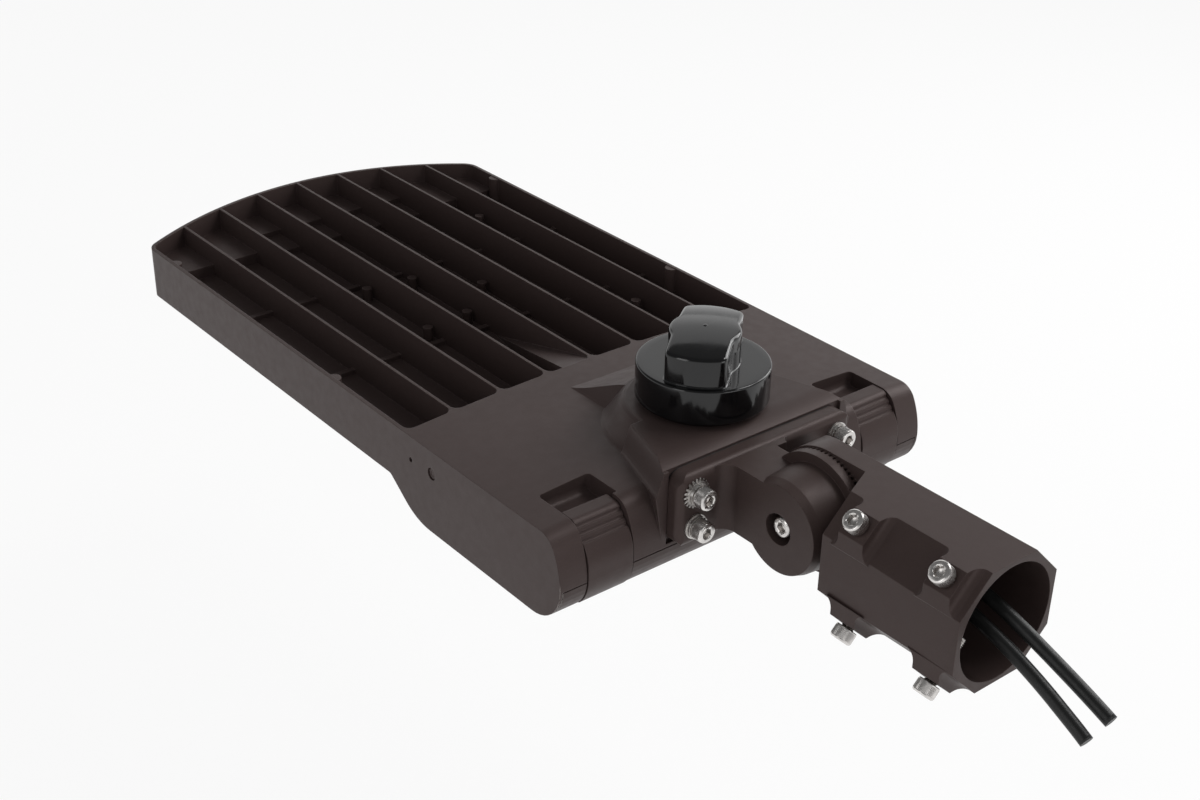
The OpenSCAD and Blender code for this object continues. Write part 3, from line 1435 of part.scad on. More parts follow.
module lens_panels() {
    dome = (dome_r * dome_r + dome_h * dome_h) / (2 * dome_h);
    color([0.85, 0.90, 0.92, 0.6]) for (x = field_x) translate([x, lens_y, 0]) difference() {
        union() {
            translate([0, 0, lens_z - lens_t]) cube([lens_w, lens_l, lens_t]);
            intersection() {
                translate([0, 0, lens_z - lens_t - dome_h - over]) cube([lens_w, lens_l, dome_h + over + sink]);
                for (i = [0 : chips_x - 1], j = [0 : chips_y - 1])
                    translate([
                        chip_pitch_x * (i + 1/2), chip_pitch_y * (j + 1/2), lens_z - lens_t - dome_h + dome
                    ]) sphere(r = dome);
            }
        }
        field_holes(lens_z - over - lens_t, lens_z + over);
    }
}

module lens_screws() {
    seat = lens_z - lens_t;
    color(steel) for (x = field_x, p = lens_screw_shares)
        translate([x + lens_w * p[0], lens_y + lens_l * p[1], seat]) rotate([180, 0, 0])
            pan_screw(light_z + floor_t * 2/3 - seat);
}

// Potted driver that hangs by its two feet
module led_driver() {
    color([0.75, 0.75, 0.74]) difference() {
        union() {
            translate([-driver_w / 2, driver_y, driver_top - driver_h]) cube([driver_w, driver_l, driver_h]);
            for (s = [-1, 1]) translate([s * driver_w / 2 - foot_w, driver_y, driver_top])
                cube([2 * foot_w, driver_l, driver_foot]);
        }
        ceiling_holes();
    }
}

// Holes of the screws in the compartment's ceiling
module ceiling_holes() {
    for (p = ceiling_screws) translate([p[0], p[1], ceiling_z - comp_depth])
        cylinder(h = comp_depth + over, r = m4_r + fit);
}

// Six equal screws that hold the driver, the surge protector and the terminal block
module driver_screws() {
    color(steel) for (p = ceiling_screws) translate([p[0], p[1], driver_top]) rotate([180, 0, 0])
        pan_screw(driver_foot + deck_t * 2/3);
}

module surge_protector() {
    tab = foot_w * 2/3;
    color([0.90, 0.89, 0.84]) difference() {
        union() {
            translate([side_x - surge_w / 2, surge_y, ceiling_z - surge_h]) cube([surge_w, surge_w, surge_h]);
            translate([side_x - tab, surge_y - tab, driver_top]) cube([2 * tab, surge_w + 2 * tab, driver_foot]);
        }
        ceiling_holes();
    }
}

module terminal_block() {
    pole = (block_l - 2 * foot_w) / 3;
    color([0.86, 0.85, 0.80]) difference() {
        union() {
            translate([-side_x - block_w / 2, block_y + foot_w - sink, ceiling_z - block_h])
                cube([block_w, block_l - 2 * foot_w + 2 * sink, block_h]);
            translate([-side_x - block_w / 2, block_y, driver_top]) cube([block_w, block_l, driver_foot]);
        }
        ceiling_holes();
        for (k = [0 : 2]) translate([-side_x, block_y + foot_w + pole * (k + 1/2), ceiling_z - block_h - over])
            cylinder(h = over + block_h / 4, r = pole / 3);
    }
}

// Wires inside the head, each swept along its own route
module internal_wires() {
    color([0.85, 0.15, 0.10]) {
        for (k = [-1, 0, 1]) {
            wire([for (p = supply_route) p + [0, 0, 2 * wire_gap * k]], wire_r, [0, 0, 1], 8);
            wire([for (p = input_route) p + [0, 0, 2 * wire_gap * k]], wire_r, [0, 0, 1], 8);
            wire([for (p = cell_route) p + [2 * wire_gap * k, 0, 0]], wire_r, [1, 0, 0], 8);
        }
        for (s = [-1, 1], k = [-1, 1]) wire(
            [for (p = light_route) p + [s * lens_w / 2 + wire_gap * k, 0, 0]], wire_r, [1, 0, 0], 8
        );
        for (k = [-1, 1]) wire([for (p = surge_route) p + [0, 0, 2 * wire_gap * k]], wire_r, [0, 0, 1], 8);
    }
}
block_face = block_w / 2 - side_x;
supply_route = [
    [-12, 200, -3], [-12, 212, -3], [-18, 228, -5], [-45, 235, -10], [-74, 239, -13], [-83, 246, -13],
    [-90, 254, -11], [-97, 262, -8], [-104, 268, -5], [block_face, 268, -5]
];
input_route = [
    [block_face, 280, -5], [-106, 280, -5], [-99, 280, -7], [-92, 280, -9.5], [-85, 280, -12],
    [-driver_w / 2, 280, -12]
];
cell_route = [[10, 232, cell_low], [10, 232, -2], [10, 234, -8], [10, 239, -13], [10, driver_y, -13]];
surge_route = [[side_x - surge_w / 2, 276, -10], [95, 276, -10], [86, 276, -13], [driver_w / 2, 276, -13]];
light_route = [
    [0, driver_y + driver_l, floor_z], [0, 319, floor_z], [0, 326, -15], [0, 334, -17.5], [0, 341, -19.5],
    [0, 348, light_z - board_t], [0, lens_y + board_in, light_z - board_t]
];

slipfitter_body();
clamp_screws();
knuckle_bolt();
knuckle_washer();
knuckle_nut();
cable_grommet();
supply_cable_left();
supply_cable_right();
housing();
mounting_bracket();
bracket_gasket();
bracket_bolts();
spring_washers();
flat_washers();
tooth_lock_washer();
side_plug_screw();
photocell_receptacle();
receptacle_contacts();
receptacle_gasket();
shorting_cap();
cap_blades();
cap_gasket();
door();
door_gasket();
door_hinge_pins();
latch_pins();
latch_left();
latch_right();
light_boards();
light_chips();
lens_gaskets();
lens_panels();
lens_screws();
led_driver();
driver_screws();
surge_protector();
terminal_block();
internal_wires();
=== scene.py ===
import math

import bmesh
import bpy
from mathutils import Matrix, Vector


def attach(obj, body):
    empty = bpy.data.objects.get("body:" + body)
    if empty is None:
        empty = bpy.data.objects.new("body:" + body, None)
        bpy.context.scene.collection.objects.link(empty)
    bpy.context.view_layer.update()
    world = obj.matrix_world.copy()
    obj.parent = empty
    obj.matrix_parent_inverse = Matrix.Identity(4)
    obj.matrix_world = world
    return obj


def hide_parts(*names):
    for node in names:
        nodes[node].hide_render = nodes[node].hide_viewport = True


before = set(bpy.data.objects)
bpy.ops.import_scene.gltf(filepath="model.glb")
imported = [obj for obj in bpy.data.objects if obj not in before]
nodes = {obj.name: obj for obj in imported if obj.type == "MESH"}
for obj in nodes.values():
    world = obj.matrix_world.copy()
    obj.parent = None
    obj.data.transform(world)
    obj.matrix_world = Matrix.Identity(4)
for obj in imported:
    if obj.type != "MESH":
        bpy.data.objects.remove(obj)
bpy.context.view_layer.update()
scene = bpy.context.scene
MM = 0.001

# Camera

FOCAL_PX = 1719.49
PHOTO_W, PHOTO_H = 1200, 800
CENTRE_PX = (594.1, 399.53)
SENSOR = 36.0

cam_data = bpy.data.cameras.new("camera")
cam_data.sensor_width = SENSOR
cam_data.lens = FOCAL_PX * SENSOR / PHOTO_W
cam_data.shift_x = (PHOTO_W / 2 - CENTRE_PX[0]) / PHOTO_W
cam_data.shift_y = (CENTRE_PX[1] - PHOTO_H / 2) / PHOTO_W
cam_data.clip_start, cam_data.clip_end = 0.02, 30
camera = bpy.data.objects.new("camera", cam_data)
scene.collection.objects.link(camera)
look = Vector((0.55422849, 0.67932484, -0.48098706))
right = Vector((0.78056648, -0.62484361, 0.01692436))
up = right.cross(look)
turn = Matrix((right, up, -look)).transposed().to_4x4()
camera.matrix_world = Matrix.Translation((-0.64387, -0.43918, 0.54042)) @ turn
scene.camera = camera


# Node tree helpers

class Tree:
    """A material's node tree, with short calls for the nodes that the materials share."""

    def __init__(self, name):
        self.mat = bpy.data.materials.new(name)
        self.mat.use_nodes = True
        self.nt = self.mat.node_tree
        self.shader = self.nt.nodes["Principled BSDF"]
        self.coords = self.nt.nodes.new("ShaderNodeTexCoord").outputs["Object"]

    def node(self, kind, inputs=(), **settings):
        n = self.nt.nodes.new("ShaderNode" + kind)
        for key, value in settings.items():
            setattr(n, key, value)
        for key, value in dict(inputs).items():
            if isinstance(value, bpy.types.NodeSocket):
                self.nt.links.new(value, n.inputs[key])
            else:
                n.inputs[key].default_value = value
        return n

    def stretched(self, scale):
        return self.node("Mapping", {"Vector": self.coords, "Scale": scale}).outputs["Vector"]

    def noise(self, scale, detail=3.0, rough=0.5, vector=None, distort=0.0):
        return self.node("TexNoise", {
            "Vector": vector or self.coords, "Scale": scale, "Detail": detail,
            "Roughness": rough, "Distortion": distort,
        }).outputs["Fac"]

    def cells(self, scale, vector=None, feature="F1"):
        return self.node("TexVoronoi", {"Vector": vector or self.coords, "Scale": scale},
                         feature=feature).outputs["Distance"]

    def wave(self, scale, distort=0.0, vector=None, kind="BANDS", direction="X", profile="SIN"):
        way = {"bands_direction": direction} if kind == "BANDS" else {"rings_direction": direction}
        return self.node("TexWave", {
            "Vector": vector or self.coords, "Scale": scale, "Distortion": distort, "Detail": 2.0,
        }, wave_type=kind, wave_profile=profile, **way).outputs["Fac"]

    def ramp(self, value, lo, hi, to_lo=0.0, to_hi=1.0):
        return self.node("MapRange", {
            "Value": value, "From Min": lo, "From Max": hi, "To Min": to_lo, "To Max": to_hi,
        }).outputs["Result"]

    def math(self, op, a, b=0.0):
        n = self.nt.nodes.new("ShaderNodeMath")
        n.operation = op
        for socket, value in zip(n.inputs, (a, b)):
            if isinstance(value, bpy.types.NodeSocket):
                self.nt.links.new(value, socket)
            else:
                socket.default_value = value
        return n.outputs["Value"]

    def mix(self, factor, a, b):
        n = self.nt.nodes.new("ShaderNodeMix")
        n.data_type = "RGBA"
        for socket, value in ((n.inputs[0], factor), (n.inputs[6], a), (n.inputs[7], b)):
            if isinstance(value, bpy.types.NodeSocket):
                self.nt.links.new(value, socket)
            else:
                socket.default_value = (*value, 1.0) if isinstance(value, tuple) else value
        return n.outputs[2]

    def bump(self, height, distance, strength=1.0, normal=None):
        inputs = {"Height": height, "Distance": distance, "Strength": strength}
        if normal is not None:
            inputs["Normal"] = normal
        return self.node("Bump", inputs).outputs["Normal"]

    def rounded(self, radius, samples=4):
        return self.node("Bevel", {"Radius": radius}, samples=samples).outputs["Normal"]

    def edges(self, rounded, lo=0.02, hi=0.25):
        """1 on sharp edges and 0 on faces: how far the rounded normal leaves the face's own."""
        own = self.node("NewGeometry").outputs["Normal"]
        dot = self.node("VectorMath", operation="DOT_PRODUCT")
        self.nt.links.new(rounded, dot.inputs[0])
        self.nt.links.new(own, dot.inputs[1])
        return self.ramp(self.math("SUBTRACT", 1.0, dot.outputs["Value"]), lo, hi)

    def near(self, centre, radius):
        """1 inside a ball about the centre, falling to 0 at the radius."""
        away = self.node("VectorMath", operation="DISTANCE")
        self.nt.links.new(self.coords, away.inputs[0])
        away.inputs[1].default_value = centre
        return self.ramp(away.outputs["Value"], radius, 0.8 * radius)

    def finish(self, colour=None, rough=None, normal=None, **constants):
        names = {
            "metallic": "Metallic", "ior": "IOR", "specular": "Specular IOR Level",
            "specular_tint": "Specular Tint", "transmission": "Transmission Weight",
        }
        for key, value in constants.items():
            self.shader.inputs[names[key]].default_value = value
        for name, value in (("Base Color", colour), ("Roughness", rough), ("Normal", normal)):
            if isinstance(value, bpy.types.NodeSocket):
                self.nt.links.new(value, self.shader.inputs[name])
            elif value is not None:
                plain = (*value, 1.0) if isinstance(value, tuple) else value
                self.shader.inputs[name].default_value = plain
        return self.mat


# Materials

def powder_coat(name, dark, light, rubbed=None, peel=0.00003):
    """Satin dark bronze powder coat on a casting: orange peel, faint clouds, a patchy painted highlight
    along the edges and, where asked, the coat rubbed through to bright metal.
    """
    t = Tree(name)
    soft = t.rounded(0.7 * MM)
    clouds = t.noise(9.0, 4.0, 0.55)
    specks = t.ramp(t.noise(1800.0, 1.0), 0.45, 0.62)
    tone = t.math("ADD", t.math("MULTIPLY", clouds, 0.75), t.math("MULTIPLY", specks, 0.25))
    colour = t.mix(t.ramp(tone, 0.25, 0.75), dark, light)
    edge = t.edges(soft)
    # painted highlight: the edges are made lighter, in patches like rubbed wear
    patchy_edge_highlight = t.math("MULTIPLY", edge, t.ramp(t.noise(60.0, 4.0), 0.35, 0.7, 0.2, 1.0))
    colour = t.mix(t.math("MULTIPLY", patchy_edge_highlight, 0.85), colour, tuple(1.9 * c + 0.02 for c in light))
    rough = t.ramp(t.noise(140.0, 3.0), 0.3, 0.7, 0.40, 0.48)
    if rubbed:
        # the coat is rubbed through to bright metal along one edge
        bare = t.math("MULTIPLY", t.near(*rubbed), t.ramp(t.noise(420.0, 4.0, 0.6), 0.36, 0.46))
        bare = t.math("MULTIPLY", bare, t.ramp(edge, 0.25, 0.5))
        across = t.node("SeparateXYZ", {"Vector": t.coords}).outputs["X"]
        bare = t.math("MULTIPLY", bare, t.ramp(across, -0.1466, -0.1474))
        colour = t.mix(bare, colour, (0.62, 0.58, 0.55))
        rough = t.math("SUBTRACT", rough, t.math("MULTIPLY", bare, 0.12))
    peel_height = t.math("ADD", t.noise(900.0, 2.0), t.math("MULTIPLY", t.cells(380.0), 0.35))
    return t.finish(colour, rough, t.bump(peel_height, peel, 0.6, soft),
                    specular=0.27, specular_tint=(1.0, 0.84, 0.82, 1.0))


def steel(name, base=(0.70, 0.68, 0.66), rough=(0.24, 0.38), axis="X"):
    """Machined stainless steel: fine turning lines, faint stains and small nicks."""
    t = Tree(name)
    soft = t.rounded(0.2 * MM)
    lines = t.noise(420.0, 4.0, 0.6, t.stretched({"X": (9, 1, 1), "Y": (1, 9, 1), "Z": (1, 1, 9)}[axis]))
    stains = t.ramp(t.noise(170.0, 4.0), 0.35, 0.75)
    colour = t.mix(stains, base, tuple(0.74 * c for c in base))
    # painted shade: ambient occlusion darkens the hollows to a brownish grey
    hollow = t.node("AmbientOcclusion", {"Distance": 0.003}, samples=6).outputs["AO"]
    colour = t.mix(t.ramp(hollow, 0.15, 0.7), (0.20, 0.175, 0.155), colour)
    roughness = t.ramp(t.math("ADD", t.math("MULTIPLY", lines, 0.6), t.math("MULTIPLY", stains, 0.4)),
                       0.3, 0.7, *rough)
    nicks = t.math("MULTIPLY", t.ramp(t.cells(700.0), 0.0, 0.12, 1.0, 0.0), -0.5)
    height = t.math("ADD", lines, nicks)
    return t.finish(colour, roughness, t.bump(height, 0.00002, 0.5, soft), metallic=1.0)


def gloss_plastic(name, base=(0.0045, 0.0045, 0.005)):
    """Glossy black moulded plastic with faint flow marks, dust and hairline scratches."""
    t = Tree(name)
    soft = t.rounded(0.4 * MM, 6)
    dust = t.ramp(t.noise(2600.0, 2.0), 0.62, 0.75)
    colour = t.mix(t.math("MULTIPLY", dust, 0.30), base, (0.03, 0.03, 0.031))
    smears = t.noise(55.0, 4.0, 0.6, distort=0.6)
    rough = t.math("ADD", t.ramp(smears, 0.35, 0.75, 0.07, 0.17), t.math("MULTIPLY", dust, 0.12))
    hair = t.ramp(t.noise(240.0, 2.0, 0.5, t.stretched((0.35, 6.0, 1.0))), 0.68, 0.74)
    height = t.math("ADD", t.math("MULTIPLY", t.noise(42.0, 2.0), 1.0), t.math("MULTIPLY", hair, -0.05))
    return t.finish(colour, rough, t.bump(height, 0.00006, 0.35, soft), ior=1.49, specular=0.5)


def matte_plastic(name, base, rough=(0.45, 0.62), grain=900.0, depth=0.00003):
    """Moulded plastic with a spark-eroded grain and slight fading."""
    t = Tree(name)
    soft = t.rounded(0.4 * MM)
    clouds = t.noise(35.0, 4.0)
    faded = tuple(min(1, 1.08 * c) for c in base)
    colour = t.mix(t.ramp(clouds, 0.3, 0.7), tuple(0.86 * c for c in base), faded)
    return t.finish(colour, t.ramp(t.noise(220.0), 0.3, 0.7, *rough),
                    t.bump(t.noise(grain, 3.0), depth, 0.5, soft))


def rubber(name, base=(0.018, 0.018, 0.018), rough=(0.62, 0.82)):
    """Moulded rubber with a dusty bloom."""
    t = Tree(name)
    soft = t.rounded(0.3 * MM)
    bloom = t.ramp(t.noise(120.0, 5.0, 0.6), 0.42, 0.72)
    colour = t.mix(t.math("MULTIPLY", bloom, 0.6), base, tuple(c + 0.035 for c in base))
    height = t.math("ADD", t.noise(1500.0, 2.0), t.math("MULTIPLY", t.noise(60.0), 0.5))
    return t.finish(colour, t.ramp(bloom, 0, 1, *rough), t.bump(height, 0.00004, 0.5, soft), specular=0.35)


def jacket(name):
    """Extruded cable jacket: fine lines along the cable, scuffs and a faint sheen."""
    t = Tree(name)
    lines = t.noise(900.0, 3.0, 0.6, t.stretched((1.0, 0.04, 1.0)))
    scuffs = t.ramp(t.noise(150.0, 5.0, 0.65), 0.55, 0.78)
    colour = t.mix(t.math("MULTIPLY", scuffs, 0.5), (0.0085, 0.009, 0.009), (0.022, 0.022, 0.0215))
    rough = t.math("ADD", t.ramp(lines, 0.3, 0.7, 0.38, 0.50), t.math("MULTIPLY", scuffs, 0.12))
    return t.finish(colour, rough, t.bump(lines, 0.00002, 0.4), specular=0.35)


def brass(name):
    """Stamped brass with turning lines and patches of tarnish."""
    t = Tree(name)
    tarnish = t.ramp(t.noise(90.0, 5.0, 0.6), 0.35, 0.75)
    colour = t.mix(tarnish, (0.68, 0.47, 0.17), (0.42, 0.27, 0.10))
    lines = t.noise(500.0, 3.0, 0.5, t.stretched((1, 8, 1)))
    normal = t.bump(lines, 0.00002, 0.5, t.rounded(0.1 * MM))
    return t.finish(colour, t.ramp(tarnish, 0, 1, 0.24, 0.46), normal, metallic=1.0)


def brushed_case(name):
    """Folded aluminium case of the driver, brushed along its length."""
    t = Tree(name)
    lines = t.noise(330.0, 5.0, 0.6, t.stretched((0.05, 1.0, 1.0)))
    stains = t.noise(22.0, 4.0)
    colour = t.mix(t.ramp(stains, 0.3, 0.7), (0.62, 0.62, 0.61), (0.50, 0.50, 0.50))
    normal = t.bump(lines, 0.00003, 0.5, t.rounded(0.6 * MM))
    return t.finish(colour, t.ramp(lines, 0.3, 0.7, 0.30, 0.46), normal, metallic=1.0)


def solder_mask(name):
    """White board with thin copper tracks that show as raised lines under the mask."""
    t = Tree(name)
    tracks = t.ramp(t.wave(18.0, 0.0, direction="X", profile="SAW"), 0.88, 0.93)
    cross = t.ramp(t.wave(12.0, 0.0, direction="Y", profile="SAW"), 0.92, 0.95)
    raised = t.math("MAXIMUM", tracks, cross)
    grain = t.noise(700.0, 3.0)
    colour = t.mix(t.math("MULTIPLY", raised, 0.35), (0.80, 0.80, 0.77), (0.62, 0.60, 0.50))
    height = t.math("ADD", raised, t.math("MULTIPLY", grain, 0.08))
    return t.finish(colour, t.ramp(grain, 0.3, 0.7, 0.35, 0.5), t.bump(height, 0.00005, 0.6))


def phosphor(name):
    """Yellow phosphor dome of an LED with a fine grain."""
    t = Tree(name)
    grain = t.noise(2600.0, 3.0)
    colour = t.mix(t.ramp(grain, 0.3, 0.7), (0.80, 0.58, 0.10), (0.88, 0.70, 0.22))
    normal = t.bump(grain, 0.00005, 0.5, t.rounded(0.4 * MM))
    return t.finish(colour, t.ramp(grain, 0.3, 0.7, 0.30, 0.45), normal)


def clear_lens(name):
    """Clear moulded lens sheet with faint flow waves and a light frosting."""
    t = Tree(name)
    flow = t.noise(24.0, 3.0, 0.5, distort=0.8)
    frost = t.noise(1400.0, 2.0)
    colour = t.mix(t.ramp(flow, 0.3, 0.7), (0.92, 0.95, 0.96), (0.86, 0.91, 0.93))
    height = t.math("ADD", flow, t.math("MULTIPLY", frost, 0.1))
    return t.finish(colour, t.ramp(frost, 0.3, 0.7, 0.04, 0.12), t.bump(height, 0.0001, 0.3),
                    transmission=0.92, ior=1.49)


def insulated(name):
    """Wire insulation whose colour changes from wire to wire."""
    t = Tree(name)
    bands = t.noise(38.0, 0.0)
    colour = t.mix(t.ramp(bands, 0.48, 0.52), (0.42, 0.02, 0.015), (0.03, 0.03, 0.032))
    lines = t.noise(1200.0, 2.0)
    return t.finish(colour, t.ramp(lines, 0.3, 0.7, 0.34, 0.46), t.bump(lines, 0.00002, 0.4))


CORNER = (-0.149, 0.198, -0.038)
bronze = powder_coat("bronze_coat", (0.050, 0.0350, 0.0328), (0.059, 0.0418, 0.0395), (CORNER, 0.019))
bronze_bracket = powder_coat("bronze_coat_bracket", (0.046, 0.0315, 0.0290), (0.055, 0.0382, 0.0355))
stainless = steel("stainless")
black_gloss = gloss_plastic("cap_plastic")
black_matte = matte_plastic("receptacle_plastic", (0.02, 0.02, 0.021))
ivory = matte_plastic("ivory_plastic", (0.70, 0.68, 0.58))
seal = rubber("seal_rubber")
grey_seal = rubber("lens_seal_rubber", (0.05, 0.05, 0.05))
red_seal = rubber("cap_seal_rubber", (0.14, 0.03, 0.015))
cable_black = jacket("cable_jacket")

NODE_MATERIALS = {
    "housing": bronze, "door": bronze, "latch_left": bronze, "latch_right": bronze,
    "mounting_bracket": bronze_bracket, "slipfitter_body": bronze_bracket,
    "side_plug_screw": bronze_bracket, "clamp_screws": stainless, "knuckle_bolt": stainless,
    "knuckle_washer": stainless, "knuckle_nut": stainless,
    "bracket_bolts": stainless, "spring_washers": stainless, "flat_washers": stainless,
    "tooth_lock_washer": stainless, "door_hinge_pins": stainless, "latch_pins": stainless,
    "lens_screws": stainless, "driver_screws": stainless,
    "shorting_cap": black_gloss, "photocell_receptacle": black_matte,
    "receptacle_contacts": brass("contact_brass"), "cap_blades": brass("blade_brass"),
    "cable_grommet": seal, "bracket_gasket": seal, "receptacle_gasket": seal, "door_gasket": seal,
    "lens_gaskets": grey_seal, "cap_gasket": red_seal,
    "supply_cable_left": cable_black, "supply_cable_right": cable_black,
    "light_boards": solder_mask("light_board_mask"), "light_chips": phosphor("chip_phosphor"),
    "lens_panels": clear_lens("lens_plastic"),
    "led_driver": brushed_case("driver_case"), "surge_protector": ivory, "terminal_block": ivory,
    "internal_wires": insulated("wire_insulation"),
}
for name, material in NODE_MATERIALS.items():
    data = nodes[name].data
    data.materials.clear()
    data.materials.append(material)


# Supply cables

CABLE_D = 0.008
GROMMET_FACE = 89.8
CABLE_ROUTES = {
    "right": [
        (3, GROMMET_FACE, 13), (3, 80, 13), (3, 70, 13), (3.2, 60, 12.5), (3.4, 50, 11.6),
        (3.6, 40, 10.4), (3.8, 30, 9), (4, 20, 7), (4, 10, 4.7), (4, 0, 1.9), (4, -10, -1.4),
        (4, -20, -4.9), (4, -30, -8.5), (4, -40, -12.2), (4, -50, -16), (4, -60, -20), (4, -69.5, -24),
    ],
    "left": [
        (-5, GROMMET_FACE, 5), (-5, 80, 5), (-5, 70, 5), (-5, 60, 4.6), (-5, 50, 3.7),
        (-5, 40, 2.3), (-5.2, 30, 0.4), (-5.5, 20, -1.8), (-5.8, 10, -4.2), (-6.3, 0, -6.6),
        (-7, -10, -9.1), (-7.9, -20, -12), (-8.8, -30, -15.2), (-9.7, -40, -18.8),
        (-10.6, -50, -22.8), (-11.4, -60, -27), (-12, -67.5, -30.5),
    ],
}


def smooth_path(points, steps):
    """Points of a smooth curve through the route's points."""
    ends = [2 * points[0] - points[1], *points, 2 * points[-1] - points[-2]]
    out = []
    for i in range(1, len(ends) - 2):
        a, b, c, d = ends[i - 1:i + 3]
        for k in range(steps):
            u = k / steps
            out.append(0.5 * (2 * b + (c - a) * u + (2 * a - 5 * b + 4 * c - d) * u * u
                              + (3 * b - a - 3 * c + d) * u ** 3))
    return out + [points[-1]]


def tube(name, path, profile):
    """Closed tube along a path: profile gives (angle, radius) pairs for one ring."""
    bm = bmesh.new()
    rings = []
    side = Vector((1, 0, 0))
    for i, p in enumerate(path):
        way = (path[min(i + 1, len(path) - 1)] - path[max(i - 1, 0)]).normalized()
        u = (side - way * side.dot(way)).normalized()
        v = way.cross(u)
        rings.append([bm.verts.new(p + r * (math.cos(a) * u + math.sin(a) * v)) for a, r in profile])
    for a, b in zip(rings, rings[1:]):
        for k in range(len(a)):
            bm.faces.new((a[k], a[(k + 1) % len(a)], b[(k + 1) % len(a)], b[k]))
    bm.faces.new(list(reversed(rings[0])))
    bm.faces.new(rings[-1])
    bmesh.ops.recalc_face_normals(bm, faces=bm.faces)
    for f in bm.faces:
        f.smooth = len(f.verts) == 4
    mesh = bpy.data.meshes.new(name)
    bm.to_mesh(mesh)
    bm.free()
    obj = bpy.data.objects.new(name, mesh)
    scene.collection.objects.link(obj)
    return obj


CABLE_SIDES, STEPS_PER_POINT = 40, 4
for side_name, route in CABLE_ROUTES.items():
    path = smooth_path([Vector(p) * MM for p in route], STEPS_PER_POINT)
    ring = [(2 * math.pi * k / CABLE_SIDES, CABLE_D / 2) for k in range(CABLE_SIDES)]
    cable = tube("cable_" + side_name, path, ring)
    cable.data.materials.append(cable_black)
    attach(cable, "slipfitter")
    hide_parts("supply_cable_" + side_name)


# Socket head screws with knurled heads and real threads

def shell(bm, rows, start=None, finish=None):
    """Closed shell through rows of points, with a point or a flat face at each end."""
    rings = [[bm.verts.new(p) for p in row] for row in rows]
    faces = []
    for a, b in zip(rings, rings[1:]):
        n = len(a)
        faces += [bm.faces.new((a[k], a[(k + 1) % n], b[(k + 1) % n], b[k])) for k in range(n)]
    for ring, tip in ((rings[0], start), (rings[-1], finish)):
        if tip is None:
            bm.faces.new(ring)
        else:
            top = bm.verts.new(tip)
            faces += [bm.faces.new((ring[k], ring[(k + 1) % len(ring)], top)) for k in range(len(ring))]
    for f in faces:
        f.smooth = True


def round_row(r, z, n, centre=(0.0, 0.0)):
    turns = [2 * math.pi * k / n for k in range(n)]
    return [Vector((centre[0] + r * math.cos(a), centre[1] + r * math.sin(a), z)) for a in turns]


# sizes of the screws in mm
HEAD_R, HEAD_H = 6.6, 8.0
SOCKET_AF, SOCKET_D = 6.0, 4.0
THREAD_R, PITCH = 4.0, 1.25
THREAD_CORE = THREAD_R - 0.68
SCREW_TIP = THREAD_R - 0.95
KNURL_DEPTH = 0.24
HEAD_SIDES, THREAD_SIDES, THREAD_STEPS = 120, 24, 6


def knurl_row(z, depth):
    """Row round the head whose every other point lies deeper."""
    row = []
    for k in range(HEAD_SIDES):
        angle = 2 * math.pi * k / HEAD_SIDES
        r = HEAD_R - (depth if k % 2 else 0.0)
        row.append(Vector((r * math.cos(angle), r * math.sin(angle), z)))
    return row


def hex_row(af, z):
    """Row on a hexagon, with as many points as the head's round rows."""
    row = []
    for k in range(HEAD_SIDES):
        angle = 2 * math.pi * k / HEAD_SIDES
        off = (angle + math.pi / 6) % (math.pi / 3) - math.pi / 6
        r = af / 2 / math.cos(off)
        row.append(Vector((r * math.cos(angle + math.pi / 6), r * math.sin(angle + math.pi / 6), z)))
    turn = HEAD_SIDES // 12
    return row[-turn:] + row[:-turn]


def add_screw(bm, length, place):
    """Screw along -Z with its head on z = 0, moved by the matrix place; all in mm."""
    part = bmesh.new()
    shell(part, [
        round_row(THREAD_R, 0.0, HEAD_SIDES),
        round_row(HEAD_R - 0.5, 0.0, HEAD_SIDES),
        round_row(HEAD_R - 0.12, 0.4, HEAD_SIDES),
        round_row(HEAD_R - 0.12, 0.9, HEAD_SIDES),
        knurl_row(1.1, KNURL_DEPTH),
        knurl_row(HEAD_H - 1.5, KNURL_DEPTH),
        round_row(HEAD_R - 0.15, HEAD_H - 1.3, HEAD_SIDES),
        round_row(HEAD_R - 0.15, HEAD_H - 0.8, HEAD_SIDES),
        round_row(HEAD_R - 0.75, HEAD_H - 0.15, HEAD_SIDES),
        round_row(HEAD_R - 1.0, HEAD_H, HEAD_SIDES),
        round_row(SOCKET_AF / 2 + 0.75, HEAD_H, HEAD_SIDES),
        hex_row(SOCKET_AF, HEAD_H - 0.45),
        hex_row(SOCKET_AF, HEAD_H - SOCKET_D),
        round_row(SOCKET_AF / 2 - 0.6, HEAD_H - SOCKET_D - 0.2, HEAD_SIDES),
    ], start=(0, 0, 0), finish=(0, 0, HEAD_H - SOCKET_D - 1.4))
    rows = [round_row(SCREW_TIP, -length, THREAD_SIDES)]
    z = -length + 0.45
    while z < -0.35:
        row = []
        for k in range(THREAD_SIDES):
            phase = (z / PITCH - k / THREAD_SIDES) % 1.0
            tooth = min(1.0, max(0.0, 1.15 - 2.3 * abs(phase - 0.5)))
            r = THREAD_CORE + (THREAD_R - THREAD_CORE) * tooth
            r = min(r, SCREW_TIP + (z + length))
            angle = 2 * math.pi * k / THREAD_SIDES
            row.append(Vector((r * math.cos(angle), r * math.sin(angle), z)))
        rows.append(row)
        z += PITCH / THREAD_STEPS
    rows.append(round_row(THREAD_R, 0.3, THREAD_SIDES))
    shell(part, rows)
    bmesh.ops.recalc_face_normals(part, faces=part.faces)
    sharp = math.radians(32)
    for e in part.edges:
        e.smooth = len(e.link_faces) == 2 and e.calc_face_angle(0.0) < sharp
    mesh = bpy.data.meshes.new("screw_part")
    part.to_mesh(mesh)
    part.free()
    mesh.transform(place)
    bm.from_mesh(mesh)
    bpy.data.meshes.remove(mesh)


